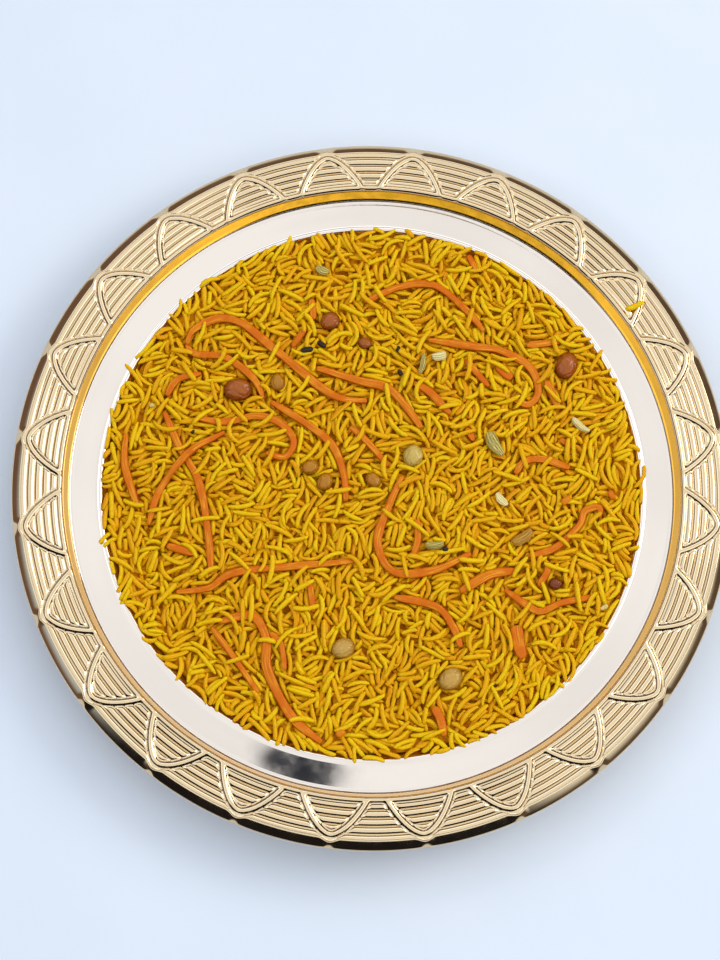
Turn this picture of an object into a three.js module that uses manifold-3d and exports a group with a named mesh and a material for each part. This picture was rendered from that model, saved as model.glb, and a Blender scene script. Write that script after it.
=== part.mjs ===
// A round metal platter with a wide raised rim, filled with saffron rice. Carrot shreds, raisins and
// cardamom pods lie on the rice. Millimetres, +Z up, origin at the middle of the platter's base.

import * as THREE from 'three';
import { mergeVertices } from 'three/addons/utils/BufferGeometryUtils.js';
import Module from 'manifold-3d';

// ---- The platter: one pressed sheet, shown as its section from the axis to the lip ----
const RIM_R = 170; // outside of the turned-down lip
const LIP_Z = 26.2; // lower edge of the lip
const LIP_WALL = 1.0; // metal thickness at the lip's edge
const RIM_Z = 32.2; // crests of the rim's reeds
const RIM_UNDER_Z = 30.7; // underside of the rim
const BAND_RISE = 0.4; // smooth band at the rim's inner edge, above the reeds
const BAND_OUTER_R = 147.9; // where that band drops to the first groove
const WALL_TOP_R = 145.8; // top of the steep inner wall
const WALL_FOOT_R = 144.1; // foot of the inner wall
const LEDGE_Z = 22.0; // flat ring between the wall and the well
const WELL_R = 128.6; // rounded edge of the well
const WELL_CORNER_R = 121.2; // where the well's wall turns into its floor
const FLOOR_R = 114; // flat floor of the well
const SHEET = 1.2; // metal thickness
const FACETS = 36; // sides of the platter's circle, a multiple of 4

// ---- The rim's relief ----
const GROOVES = 5; // ring-shaped grooves with rounded reeds between them
const GROOVE_R = 148.3; // first groove
const GROOVE_PITCH = 3.6;
const GROOVE_DEPTH = 0.6;
const ARCHES = 24; // raised arches, all round the rim
const ARCH_PHASE = 8.1; // degrees from +X to the first arch's top
const ARCH_HALF_ANGLE = 5.5; // degrees from an arch's top to either foot
const ARCH_FOOT_R = 147.8;
const ARCH_TOP_R = 163.8;
const ARCH_POWER = 1.6; // 2 would be a parabola, 1 a straight-sided tent
const ARCH_STEPS = 6;
const RIB_WIDTH = 3.2;
const RIB_TOP_WIDTH = 1.5;
const RIB_RISE = 0.7; // above the reeds
const RIB_ROOT_Z = 31.0; // the ribs are rooted inside the sheet

// ---- The bed of rice ----
const RICE_R = 126.6;
const RICE_EDGE_Z = 22.1;
const RICE_DOME = 2.3; // how much higher the bed is in the middle
const RICE_RINGS = 20; // about one ring of points for every half a grain
const RICE_SCATTER = 0.24; // random shift of a point, as a share of the ring spacing
const RICE_EDGE_SCATTER = 1.2; // how uneven the outer edge is
const RICE_UNDER_Z = 1.5; // underside, just clear of the floor
const RICE_UNDER_R = 113.6;
const RICE_CORNER_Z = 6.4;
const RICE_CORNER_R = 120.5;
const GRAIN_RISE = 1.1; // a top grain stands up to this much over the smooth bed
const GRAIN_DIP = 1.0; // the gaps between grains are up to this deep
const GAP_SHARE = 0.6; // share of a grain's neighbouring points that fall in a gap
const SEED = 20260;

// ---- What lies on the rice ----
const LYING_LIFT = 0.15; // underside of a shred or pod over the smooth bed
const PRESSED_DIP = 0.75; // the grains under it are pressed this far down
const PRESSED_REACH = 4; // to this distance from its middle line
const PRESSED_SLOPE = 0.5; // and rise this steeply beyond
const SHRED_THICKNESS = 1.5;
const SHRED_TOP_SHARE = 0.85; // width of a shred's top, as a share of its foot
const SHRED_TAPER = 0.4; // share of its width that a shred loses at its very ends
const SHRED_STEP = 10; // length of one straight piece
const CROSSING_RISE = 2.2; // a shred that crosses another one climbs over it
const CROSSING_REACH = 16;
const RAISIN_LIFT = 0.2; // a raisin's middle over the smooth bed, as a share of its height
const RAISIN_SIDES = 8;
const RAISIN_ROWS = 5;
const WRINKLE = 0.05; // depth of the wrinkles, as a share of the raisin
const PIT_GROWTH = 0.9; // a raisin's pit is this much longer, wider and deeper than the raisin
const POD_SIDES = 6;

// Every shred's width and the points that its middle line runs through, measured from the axis.
const SHREDS = [
  { width: 4.2, line: [[-90, 69], [-87, 76], [-75, 82], [-63, 79], [-46, 65], [-20, 44], [-3, 41]] },
  { width: 3.6, line: [[-86, 64], [-71, 62], [-58, 52], [-53, 42]] },
  { width: 3.8, line: [[-49, 40], [-30, 28], [-19, 18], [-14, 4], [-13, -8]] },
  { width: 4.2, line: [[-27, 57], [-7, 51], [9, 46], [23, 28]] },
  { width: 3.6, line: [[-85, 32], [-71, 30], [-57, 33], [-45, 30], [-38, 21], [-42, 13], [-51, 15]] },
  { width: 3.8, line: [[-100, 35], [-92, 17], [-83, 1], [-78, -23], [-76, -43]] },
  { width: 3.4, line: [[-71, 25], [-87, 15], [-101, -3], [-106, -20]], over: [-89, 12] },
  { width: 3.6, line: [[-118, 24], [-118, 8], [-111, -12]] },
  { width: 3.2, line: [[-83, 54], [-94, 51], [-99, 43]] },
  { width: 3.4, line: [[-30, 92], [-29, 82]] },
  { width: 3.2, line: [[-33, 77], [-39, 68]] },
  { width: 3.2, line: [[-11, 28], [-4, 22], [7, 9]] },
  { width: 3.6, line: [[-4, 91], [13, 99], [30, 100], [45, 88], [54, 77]] },
  { width: 4.0, line: [[27, 72], [49, 69], [62, 67], [76, 59], [80, 47], [75, 40], [68, 43]] },
  { width: 3.2, line: [[45, 62], [50, 56], [56, 49]] },
  { width: 4.8, line: [[60, 60], [67, 53]] },
  { width: 3.6, line: [[75, 70], [91, 72]] },
  { width: 4.0, line: [[84, 52], [90, 38]] },
  { width: 3.8, line: [[20, 50], [28, 45], [37, 35]] },
  { width: 3.8, line: [[68, 6], [73, 12], [82, 13], [94, 9]] },
  { width: 4.0, line: [[14, 4], [8, -9], [2, -28], [10, -42], [29, -41], [46, -33]] },
  { width: 3.6, line: [[21, -17], [21, -27], [19, -34]] },
  { width: 3.8, line: [[10, -54], [29, -58], [37, -67], [41, -77]] },
  { width: 4.6, line: [[41, -51], [55, -43], [68, -41]] },
  { width: 3.4, line: [[73, -34], [86, -30], [98, -19], [101, -12], [108, -10], [108, -15]] },
  { width: 3.6, line: [[83, -37], [82, -42], [78, -48]] },
  { width: 3.4, line: [[62, -50], [72, -57], [79, -60], [89, -56], [104, -53]] },
  { width: 6.5, line: [[67, -67], [68, -75], [70, -82]] },
  { width: 4.2, line: [[28, -105], [31, -110], [33, -118]] },
  { width: 3.6, line: [[-92, -52], [-77, -50], [-66, -43], [-41, -40], [-9, -37]] },
  { width: 3.2, line: [[-30, -46], [-28, -61]] },
  { width: 4.6, line: [[-72, -66], [-57, -63], [-50, -73], [-49, -88], [-38, -109], [-24, -121]] },
  { width: 3.0, line: [[-74, -72], [-65, -82], [-53, -99]] },
  { width: 3.0, line: [[-44, -73], [-41, -79], [-41, -88]] },
  { width: 3.6, line: [[-97, -30], [-84, -34]] },
];

// Raisins: place, length, width, height, turn in degrees and colour.
const RAISINS = [
  { at: [-65, 46], size: [13.0, 11.0, 6.4], turn: 0, color: 0x8e4a1e },
  { at: [-21, 81], size: [9.6, 8.8, 5.4], turn: 30, color: 0x7d4424 },
  { at: [94, 60], size: [13.6, 10.8, 6.4], turn: 70, color: 0x96431c },
  { at: [19, 14], size: [10.6, 9.6, 5.6], turn: 60, color: 0xb98a3f },
  { at: [-30, 8], size: [8.2, 7.0, 4.6], turn: 20, color: 0xb07b33 },
  { at: [-23, 1], size: [8.8, 7.4, 4.6], turn: 75, color: 0xb68440 },
  { at: [-14, -78], size: [10.8, 9.4, 5.6], turn: 20, color: 0xb4803a },
  { at: [36, -92], size: [11.6, 10.0, 5.4], turn: 40, color: 0xb18c4a },
  { at: [86, -47], size: [6.4, 5.4, 4.4], turn: 10, color: 0x5b2a1e },
  { at: [0, 2], size: [8.0, 6.6, 4.2], turn: 130, color: 0x8c5f1c },
  { at: [-46, 50], size: [8.6, 6.8, 4.2], turn: 100, color: 0xad8232 },
  { at: [-4, 70], size: [6.4, 5.4, 3.8], turn: 0, color: 0x9a6c20 },
];

// Cardamom pods and the pieces of their husk: place, length, width, height, turn in degrees and colour.
const PODS = [
  { at: [58, 20], size: [13.4, 6.0, 3.6], turn: -60, color: 0x6d6a2e },
  { at: [100, 30], size: [10.6, 4.0, 2.6], turn: -39, color: 0xa9a366 },
  { at: [32, 64], size: [7.2, 5.0, 3.0], turn: 15, color: 0xd8cf8c },
  { at: [24, 60], size: [10.6, 3.4, 2.4], turn: 80, color: 0x8f9150 },
  { at: [61, -7], size: [8.0, 4.6, 2.8], turn: -50, color: 0xdcd59a },
  { at: [29, -29], size: [9.0, 4.2, 2.6], turn: 5, color: 0x7f7f35 },
  { at: [71, -25], size: [11.4, 5.8, 2.2], turn: 35, color: 0xb99d3c },
  { at: [-25, 107], size: [7.0, 5.0, 2.6], turn: -20, color: 0x5f5b30 },
];

const RAD = THREE.MathUtils.DEG2RAD;
const random = THREE.MathUtils.seededRandom;
const wasm = await Module();
wasm.setup();

/** Height of the smooth bed of rice at a point of the plan: a shallow dome. */
function bedHeight(x, y) {
  return RICE_EDGE_Z + RICE_DOME * (1 - (x * x + y * y) / (RICE_R * RICE_R));
}

/** A mesh's geometry with its shared corners merged and its flat triangles dropped. */
function welded(geometry) {
  geometry.deleteAttribute('normal');
  geometry.deleteAttribute('uv');
  const merged = mergeVertices(geometry, 1e-3);
  const kept = [];
  for (let i = 0; i < merged.index.count; i += 3) {
    const [a, b, c] = [0, 1, 2].map((k) => merged.index.getX(i + k));
    if (a !== b && b !== c && c !== a) kept.push(a, b, c);
  }
  merged.setIndex(kept);
  return merged;
}

/** A closed geometry from its corner points and the triangles between them. */
function solidFrom(points, triangles) {
  const geometry = new THREE.BufferGeometry();
  geometry.setAttribute('position', new THREE.Float32BufferAttribute(points.flat(), 3));
  geometry.setIndex(triangles);
  return welded(geometry);
}

/** A closed geometry as a solid that can be joined and cut. */
function toManifold(geometry) {
  return new wasm.Manifold(new wasm.Mesh({
    numProp: 3,
    vertProperties: new Float32Array(geometry.attributes.position.array),
    triVerts: new Uint32Array(geometry.index.array),
  }));
}

/** The geometry of a solid that was joined and cut. */
function toGeometry(manifold) {
  const mesh = manifold.getMesh();
  const geometry = new THREE.BufferGeometry();
  geometry.setAttribute('position', new THREE.Float32BufferAttribute(mesh.vertProperties, 3));
  geometry.setIndex(Array.from(mesh.triVerts));
  return geometry;
}

/** A body through rings of points, which run anticlockwise as seen from its far end. */
function loft(rings) {
  const n = rings[0].length;
  const far = (rings.length - 1) * n;
  const triangles = [];
  for (let start = 0; start < far; start += n) {
    for (let j = 0; j < n; j += 1) {
      const a = start + j;
      const b = start + (j + 1) % n;
      triangles.push(a, b, b + n, a, b + n, a + n);
    }
  }
  for (let j = 1; j + 1 < n; j += 1) {
    triangles.push(0, j + 1, j, far, far + j, far + j + 1);
  }
  return solidFrom(rings.flat(), triangles);
}

/** A flat-topped bar along a level line: one four-cornered ring at each of its points. */
function bar(stations) {
  return loft(stations.map(({ x, y, heading, foot, top, low, high }) => {
    const across = [-Math.sin(heading), Math.cos(heading)];
    const corner = (side, z) => [x + across[0] * side, y + across[1] * side, z];
    return [corner(-foot / 2, low), corner(foot / 2, low), corner(top / 2, high), corner(-top / 2, high)];
  }));
}

// ---- Platter ----

/** Half section of the sheet, [radius, height]: out along the underside, over the lip and back. */
function platterSection() {
  const under = [
    [0, 0], [FLOOR_R + 0.6, 0], [FLOOR_R + 5, SHEET], [WELL_CORNER_R + SHEET, 4.8],
    [WELL_R, LEDGE_Z - SHEET], [WALL_FOOT_R + SHEET, LEDGE_Z - SHEET], [WALL_TOP_R + SHEET, RIM_UNDER_Z],
    [RIM_R - 4.4, RIM_UNDER_Z], [RIM_R - 1.9, RIM_UNDER_Z - 1.9], [RIM_R - LIP_WALL, LIP_Z - 0.2],
  ];
  const lip = [
    [RIM_R, LIP_Z], [RIM_R - 0.7, LIP_Z + 3], [RIM_R - 2.3, RIM_Z - 1], [RIM_R - 4.4, RIM_Z - 0.1],
  ];
  const reeds = [];
  for (let k = GROOVES - 1; k >= 0; k -= 1) {
    const groove = GROOVE_R + k * GROOVE_PITCH;
    reeds.push([groove + GROOVE_PITCH / 2, RIM_Z], [groove, RIM_Z - GROOVE_DEPTH]);
  }
  const bandAndWall = [
    [BAND_OUTER_R, RIM_Z + BAND_RISE], [WALL_TOP_R + 0.7, RIM_Z + BAND_RISE], [WALL_TOP_R, RIM_Z - 0.4],
    [WALL_FOOT_R, LEDGE_Z],
  ];
  const well = [
    [WELL_R + 1.6, LEDGE_Z], [WELL_R, LEDGE_Z + 0.3], [WELL_R - 1.6, LEDGE_Z - 1.6],
    [WELL_CORNER_R, 5.6], [FLOOR_R + 4.2, 2.4], [FLOOR_R, SHEET], [0, SHEET],
  ];
  return [...under, ...lip, ...reeds, ...bandAndWall, ...well];
}

/** One raised arch: a bar whose middle line is a rounded tent from foot to foot. */
function archRib(topAngle) {
  const middle = (t) => {
    const angle = (topAngle + ARCH_HALF_ANGLE * t) * RAD;
    const radius = ARCH_FOOT_R + (ARCH_TOP_R - ARCH_FOOT_R) * (1 - Math.abs(t) ** ARCH_POWER);
    return new THREE.Vector2(radius * Math.cos(angle), radius * Math.sin(angle));
  };
  const stations = [];
  for (let i = 0; i <= ARCH_STEPS; i += 1) {
    const t = (2 * i) / ARCH_STEPS - 1;
    const ahead = middle(Math.min(t + 0.05, 1)).sub(middle(Math.max(t - 0.05, -1)));
    const { x, y } = middle(t);
    const section = { foot: RIB_WIDTH, top: RIB_TOP_WIDTH, low: RIB_ROOT_Z, high: RIM_Z + RIB_RISE };
    stations.push({ x, y, heading: ahead.angle(), ...section });
  }
  return bar(stations);
}

function platter() {
  const section = platterSection().map(([r, z]) => new THREE.Vector2(r, z));
  let body = toManifold(welded(new THREE.LatheGeometry(section, FACETS).rotateX(Math.PI / 2)));
  for (let k = 0; k < ARCHES; k += 1) {
    body = body.add(toManifold(archRib(ARCH_PHASE + (k * 360) / ARCHES)));
  }
  return toGeometry(body);
}

// ---- Carrot shreds ----

/** The smooth middle line through a shred's points. */
function middleLine({ line }) {
  return new THREE.SplineCurve(line.map(([x, y]) => new THREE.Vector2(x, y)));
}

/** Points along a shred's middle line, about one step apart, with the heading and the share of its length. */
function shredStations(one) {
  const curve = middleLine(one);
  const steps = Math.max(2, Math.round(curve.getLength() / SHRED_STEP));
  const stations = [];
  for (let i = 0; i <= steps; i += 1) {
    const { x, y } = curve.getPointAt(i / steps);
    stations.push({ x, y, heading: curve.getTangentAt(i / steps).angle(), share: i / steps });
  }
  return stations;
}

/** How far a shred is lifted at a point, to clear the one that it crosses. */
function crossingLift(over, x, y) {
  if (!over) return 0;
  const near = Math.max(0, 1 - Math.hypot(x - over[0], y - over[1]) / CROSSING_REACH);
  return CROSSING_RISE * Math.min(1, 2 * near);
}

function shred(one) {
  const { width, over } = one;
  return bar(shredStations(one).map(({ x, y, heading, share }) => {
    const foot = width * (1 - SHRED_TAPER * Math.abs(2 * share - 1) ** 6);
    const low = bedHeight(x, y) + LYING_LIFT + crossingLift(over, x, y);
    return { x, y, heading, foot, top: SHRED_TOP_SHARE * foot, low, high: low + SHRED_THICKNESS };
  }));
}

// ---- Raisins and pods ----

/** A raisin: a ball with soft wrinkles, pressed flat. The growth is what its pit in the rice adds. */
function raisin({ at: [x, y], size: [length, width, height], turn }, growth = 0) {
  const ball = new THREE.SphereGeometry(0.5, RAISIN_SIDES, RAISIN_ROWS).rotateX(Math.PI / 2);
  const spots = ball.attributes.position;
  for (let i = 0; i < spots.count; i += 1) {
    const p = new THREE.Vector3().fromBufferAttribute(spots, i);
    p.multiplyScalar(1 - WRINKLE * (1 + Math.sin(9 * p.x + 7 * p.y + x)));
    spots.setXYZ(i, p.x, p.y, p.z);
  }
  return welded(ball)
    .scale(length + growth, width + growth, height + growth)
    .rotateZ(turn * RAD)
    .translate(x, y, bedHeight(x, y) + RAISIN_LIFT * height);
}

/** A pod or a piece of its husk: a spindle that lies on the grains. */
function pod({ at: [x, y], size: [length, width, height], turn }) {
  const outline = [[0, -0.5], [0.3, -0.36], [0.5, -0.05], [0.36, 0.3], [0, 0.5]];
  const spindle = new THREE.LatheGeometry(outline.map(([r, s]) => new THREE.Vector2(r, s)), POD_SIDES);
  return welded(spindle)
    .rotateZ(-Math.PI / 2)
    .scale(length, width, height)
    .rotateZ(turn * RAD)
    .translate(x, y, bedHeight(x, y) + LYING_LIFT + height / 2);
}

// ---- Rice ----

/** The points and triangles of the bed's top: ring k holds 6 k points, so all triangles are alike. */
function riceTop() {
  const spacing = RICE_R / RICE_RINGS;
  const points = [[0, 0]];
  const ringStart = [0];
  for (let k = 1; k <= RICE_RINGS; k += 1) {
    ringStart.push(points.length);
    const outermost = k === RICE_RINGS;
    for (let i = 0; i < 6 * k; i += 1) {
      const inward = outermost ? RICE_EDGE_SCATTER * random() : spacing * RICE_SCATTER * (2 * random() - 1);
      const sideways = outermost ? 0 : (RICE_SCATTER * (2 * random() - 1)) / k;
      const angle = (i * Math.PI) / (3 * k) + sideways;
      const radius = k * spacing - inward;
      points.push([radius * Math.cos(angle), radius * Math.sin(angle)]);
    }
  }
  const triangles = [];
  for (let k = 1; k <= RICE_RINGS; k += 1) {
    const outer = (i) => ringStart[k] + (i % (6 * k));
    const inner = (i) => (k === 1 ? 0 : ringStart[k - 1] + (i % (6 * (k - 1))));
    for (let sector = 0; sector < 6; sector += 1) {
      for (let i = 0; i < k; i += 1) {
        const out = sector * k + i;
        const within = sector * (k - 1) + i;
        triangles.push([outer(out), outer(out + 1), inner(within)]);
        if (i < k - 1) triangles.push([inner(within), outer(out + 1), inner(within + 1)]);
      }
    }
  }
  return { points, triangles, rim: ringStart[RICE_RINGS] };
}

/** Bumps the size of grains: each grain raises two neighbouring points and leaves gaps round them. */
function grainHeights(count, triangles) {
  const edges = triangles.flatMap(([a, b, c]) => [[a, b], [b, c], [c, a]]);
  const neighbours = Array.from({ length: count }, () => []);
  edges.forEach(([a, b]) => {
    neighbours[a].push(b);
    neighbours[b].push(a);
  });
  const order = edges.map((edge) => ({ edge, draw: random() })).sort((p, q) => p.draw - q.draw);
  const heights = new Array(count).fill(null);
  order.forEach(({ edge: [a, b] }) => {
    if (heights[a] !== null || heights[b] !== null) return;
    heights[a] = GRAIN_RISE * (0.3 + 0.7 * random());
    heights[b] = GRAIN_RISE * (0.3 + 0.7 * random());
    [...neighbours[a], ...neighbours[b]].forEach((n) => {
      if (heights[n] === null && random() < GAP_SHARE) heights[n] = -GRAIN_DIP * random();
    });
  });
  return heights.map((h) => h ?? 0);
}

/** Points a millimetre or two apart along the middle of every shred and pod. */
function lyingPoints() {
  const shreds = SHREDS.map(middleLine);
  const pods = PODS.map(({ at: [x, y], size: [length], turn }) => {
    const half = new THREE.Vector2(length / 2, 0).rotateAround(new THREE.Vector2(), turn * RAD);
    const middle = new THREE.Vector2(x, y);
    return new THREE.LineCurve(middle.clone().sub(half), middle.clone().add(half));
  });
  return [...shreds, ...pods].flatMap((curve) => curve.getSpacedPoints(Math.ceil(curve.getLength())));
}

/** Highest that a grain may stand over the smooth bed, beside the points where something lies. */
function grainRoom(x, y, lying) {
  const distance = Math.min(...lying.map((p) => Math.hypot(x - p.x, y - p.y)));
  return -PRESSED_DIP + PRESSED_SLOPE * Math.max(0, distance - PRESSED_REACH);
}

function rice() {
  random(SEED);
  const { points, triangles, rim } = riceTop();
  const heights = grainHeights(points.length, triangles);
  const lying = lyingPoints();
  const solid = points.map(([x, y], i) => {
    const bump = i < rim ? heights[i] : Math.min(0, heights[i]);
    return [x, y, bedHeight(x, y) + Math.min(bump, grainRoom(x, y, lying))];
  });
  const sides = 6 * RICE_RINGS;
  [[RICE_CORNER_R, RICE_CORNER_Z], [RICE_UNDER_R, RICE_UNDER_Z]].forEach(([radius, z]) => {
    for (let i = 0; i < sides; i += 1) {
      const angle = (i * 2 * Math.PI) / sides;
      solid.push([radius * Math.cos(angle), radius * Math.sin(angle), z]);
    }
  });
  const shell = triangles.flat();
  [rim, rim + sides].forEach((upper) => {
    for (let i = 0; i < sides; i += 1) {
      const next = (i + 1) % sides;
      const [a, b, c, d] = [upper + i, upper + next, upper + sides + next, upper + sides + i];
      shell.push(a, c, b, a, d, c);
    }
  });
  const floor = rim + 2 * sides;
  for (let i = 1; i + 1 < sides; i += 1) shell.push(floor, floor + i + 1, floor + i);

  let bed = toManifold(solidFrom(solid, shell));
  RAISINS.forEach((one) => {
    bed = bed.subtract(toManifold(raisin(one, PIT_GROWTH)));
  });
  return toGeometry(bed);
}

// ---- The whole platter ----

const model = new THREE.Group();

function place(name, geometry, color, roughness, metalness = 0) {
  const mesh = new THREE.Mesh(geometry, new THREE.MeshStandardMaterial({ color, roughness, metalness }));
  mesh.name = name;
  model.add(mesh);
}

const numbered = (kind, i) => `${kind}_${String(i + 1).padStart(2, '0')}`;

place('platter', platter(), 0xd9bd86, 0.12, 1);
place('rice', rice(), 0xd9a514, 0.5);
SHREDS.forEach((one, i) => place(numbered('carrot', i), shred(one), 0xe0701c, 0.45));
RAISINS.forEach((one, i) => place(numbered('raisin', i), raisin(one), one.color, 0.35));
PODS.forEach((one, i) => place(numbered('pod', i), pod(one), one.color, 0.4));

export default model;
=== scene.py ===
"""A round metal platter of saffron rice, dressed over the frame of its plain solids.

The platter is one pressed sheet of steel: a well, a flat ledge, a steep wall and a wide gold-plated rim
with arches over ring-shaped reeds. Grains are laid one by one on a core, between and over carrot shreds,
raisins and cardamom. Sizes are in millimetres until a mesh is made, +Z is up, and the origin is the middle
of the platter's base.
"""

import logging
from dataclasses import dataclass, field
from enum import Enum

import bpy
import numpy as np
from mathutils import Matrix, Vector


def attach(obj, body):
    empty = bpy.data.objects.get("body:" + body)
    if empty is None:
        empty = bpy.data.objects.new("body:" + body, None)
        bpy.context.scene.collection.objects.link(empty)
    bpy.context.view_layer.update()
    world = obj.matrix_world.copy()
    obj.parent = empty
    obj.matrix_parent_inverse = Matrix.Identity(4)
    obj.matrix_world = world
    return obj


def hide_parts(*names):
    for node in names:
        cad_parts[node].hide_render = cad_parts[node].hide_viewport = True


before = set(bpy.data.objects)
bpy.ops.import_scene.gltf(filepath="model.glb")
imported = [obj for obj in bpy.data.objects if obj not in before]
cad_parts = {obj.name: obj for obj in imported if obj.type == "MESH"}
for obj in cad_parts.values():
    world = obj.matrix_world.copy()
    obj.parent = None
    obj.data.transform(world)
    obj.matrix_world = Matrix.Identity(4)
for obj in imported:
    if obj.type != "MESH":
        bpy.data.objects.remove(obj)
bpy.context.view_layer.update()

logging.basicConfig(level=logging.INFO, format="%(message)s")
log = logging.getLogger("platter")

MM = 0.001
TURN = 2 * np.pi
Array = np.ndarray
Tree = bpy.types.NodeTree
Socket = bpy.types.NodeSocket
Colour = str | tuple[float, float, float, float] | bpy.types.NodeSocket


# ---- Small tools ----

def linear(hex_colour: str) -> tuple[float, float, float, float]:
    """Turns an sRGB hex value into linear light.

    Args:
        hex_colour: six hex digits.

    Returns:
        Red, green, blue and a full alpha.
    """
    values = [int(hex_colour[i:i + 2], 16) / 255 for i in (0, 2, 4)]
    red, green, blue = (v / 12.92 if v <= 0.04045 else ((v + 0.055) / 1.055) ** 2.4 for v in values)
    return red, green, blue, 1.0


def ease(low: float, high: float, value: Array) -> Array:
    """Rises smoothly from 0 at low to 1 at high: three times the share's square less twice its cube."""
    share = np.clip((value - low) / (high - low), 0, 1)
    return share * share * (3 - 2 * share)


def waves(x: Array, y: Array, size: float, seed: int, count: int = 7) -> Array:
    """Soft uneven ground from -1 to 1: the mean of sine waves with drawn headings, lengths and starts.

    Args:
        x: places across, in mm.
        y: places up the plan, in mm.
        size: the length of a middling wave, in mm.
        seed: the draw.
        count: the number of waves.

    Returns:
        The value at each place.
    """
    draw = np.random.default_rng(seed)
    total = np.zeros(np.broadcast(x, y).shape)
    for heading, length, start in zip(draw.uniform(0, TURN, count), draw.uniform(0.6, 1.6, count),
                                      draw.uniform(0, TURN, count)):
        phase = (x * np.cos(heading) + y * np.sin(heading)) * TURN / (size * length)
        total += np.sin(phase + start)
    return total / np.sqrt(count)


def grid_quads(rows: int, columns: int, around: bool = False) -> Array:
    """Quads between points that are stored row by row, each first along its row and then to the next row.

    Args:
        rows: number of rows.
        columns: number of points in a row.
        around: whether each row's end joins its start.

    Returns:
        Four point numbers for each quad.
    """
    steps = columns if around else columns - 1
    row, column = np.meshgrid(np.arange(rows - 1), np.arange(steps), indexing="ij")
    after = (column + 1) % columns
    here, over = row * columns, (row + 1) * columns
    return np.stack([here + column, here + after, over + after, over + column], -1).reshape(-1, 4)


def closed_faces(rows: int, columns: int, inside_out: bool = False) -> list[Array]:
    """Faces of a closed skin: quads between rows that go once round, and a fan to a point at each end.

    The two end points follow the rows' points, first the one before the rows and then the one after them.

    Args:
        rows: number of rows.
        columns: number of points in a row.
        inside_out: whether the rows run so that each face has to be turned over.

    Returns:
        The quads and the triangles.
    """
    here = np.arange(columns)
    after = (here + 1) % columns
    size = rows * columns
    first = np.stack([np.full(columns, size), after, here], -1)
    last = np.stack([size - columns + here, size - columns + after, np.full(columns, size + 1)], -1)
    faces = [grid_quads(rows, columns, True), np.concatenate([first, last])]
    return [one[:, ::-1] for one in faces] if inside_out else faces


def put_mesh(name: str, points: Array, faces: list[Array], flat: tuple[int, ...] = (),
             marks: dict[str, Array] | None = None) -> bpy.types.Object:
    """Puts worked-out points and faces into a mesh object of the scene.

    Args:
        name: the piece's name.
        points: a place for each point, in mm.
        faces: arrays of point numbers, one row for each face, anticlockwise from outside.
        flat: which of those arrays hold flat faces. The others are smooth.
        marks: a number for each point, by name, which the material reads.

    Returns:
        The new object, at the origin.
    """
    mesh = bpy.data.meshes.new(name)
    points = np.asarray(points, np.float32).reshape(-1, 3) * MM
    mesh.vertices.add(len(points))
    mesh.vertices.foreach_set("co", points.ravel())
    corners = np.concatenate([np.asarray(one, np.int32).ravel() for one in faces])
    sides = np.concatenate([np.full(len(one), one.shape[1]) for one in faces])
    smooth = np.concatenate([np.full(len(one), i not in flat) for i, one in enumerate(faces)])
    mesh.loops.add(len(corners))
    mesh.loops.foreach_set("vertex_index", corners)
    mesh.polygons.add(len(sides))
    mesh.polygons.foreach_set("loop_start", np.concatenate([[0], np.cumsum(sides)[:-1]]).astype(np.int32))
    mesh.polygons.foreach_set("use_smooth", smooth)
    for key, values in (marks or {}).items():
        layer = mesh.attributes.new(key, "FLOAT", "POINT")
        layer.data.foreach_set("value", values.astype(np.float32).ravel())
    mesh.update(calc_edges=True)
    piece = bpy.data.objects.new(name, mesh)
    bpy.context.scene.collection.objects.link(piece)
    return piece


def dress(piece: bpy.types.Object, material: bpy.types.Material, slot: str, *nodes: str) -> None:
    """Gives a finished piece its material, and fixes it in place of the plain solids that it stands for.

    Args:
        piece: the finished piece.
        material: its finish.
        slot: the record's material slot; not used.
        nodes: the plain solids' names.
    """
    piece.data.materials.append(material)
    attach(piece, "root")
    if nodes:
        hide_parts(*nodes)
    stands_for = ", ".join(nodes) or "no solid"
    log.info("%s: %d faces, stands for %s", piece.name, len(piece.data.polygons), stands_for)


def add(tree: Tree, kind: str, inputs: dict | None = None, output: int | str = 0,
        **settings) -> Socket | None:
    """Adds a node with its settings, its values and its links.

    Args:
        tree: the material's or the world's nodes.
        kind: the node's type, without the ShaderNode at its start.
        inputs: a value, or another node's output, for each socket.
        output: which of its outputs is wanted.
        settings: the node's own properties.

    Returns:
        The wanted output, or none for a node that has no outputs.
    """
    node = tree.nodes.new(f"ShaderNode{kind}")
    for key, value in settings.items():
        setattr(node, key, value)
    for key, value in (inputs or {}).items():
        if isinstance(value, Socket):
            tree.links.new(value, node.inputs[key])
        else:
            node.inputs[key].default_value = value
    return node.outputs[output] if len(node.outputs) else None


def rise(tree: Tree, *ramps: tuple[Socket, float, float], top: float = 1.0) -> Socket:
    """Multiplies soft rises, each from 0 where a value is at its start to 1 where it is at its end.

    Args:
        tree: the nodes.
        ramps: a value with the start and the end of its rise, for each rise.
        top: what the product reaches.

    Returns:
        The product's output.
    """
    product = None
    for value, start, end in ramps:
        ramp = add(tree, "MapRange", {"Value": value, "From Min": start, "From Max": end,
                                      "To Max": top if product is None else 1.0},
                   interpolation_type="SMOOTHSTEP")
        product = ramp if product is None else add(tree, "Math", {0: product, 1: ramp}, operation="MULTIPLY")
    return product


def patches(tree: Tree, size: float, start: float, end: float, detail: float = 2.0,
            top: float = 1.0) -> Socket:
    """Uneven patches over the object, with soft edges.

    Args:
        tree: the material's nodes.
        size: a patch's size in mm.
        start: the noise at which a patch starts, of 0 to 1.
        end: the noise at which it is full.
        detail: how many finer layers the noise has.
        top: what a full patch reaches.

    Returns:
        The patches' output.
    """
    place = add(tree, "TexCoord", output="Object")
    noise = add(tree, "TexNoise", {"Vector": place, "Scale": 1 / (size * MM), "Detail": detail})
    return rise(tree, (noise, start, end), top=top)


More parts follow.
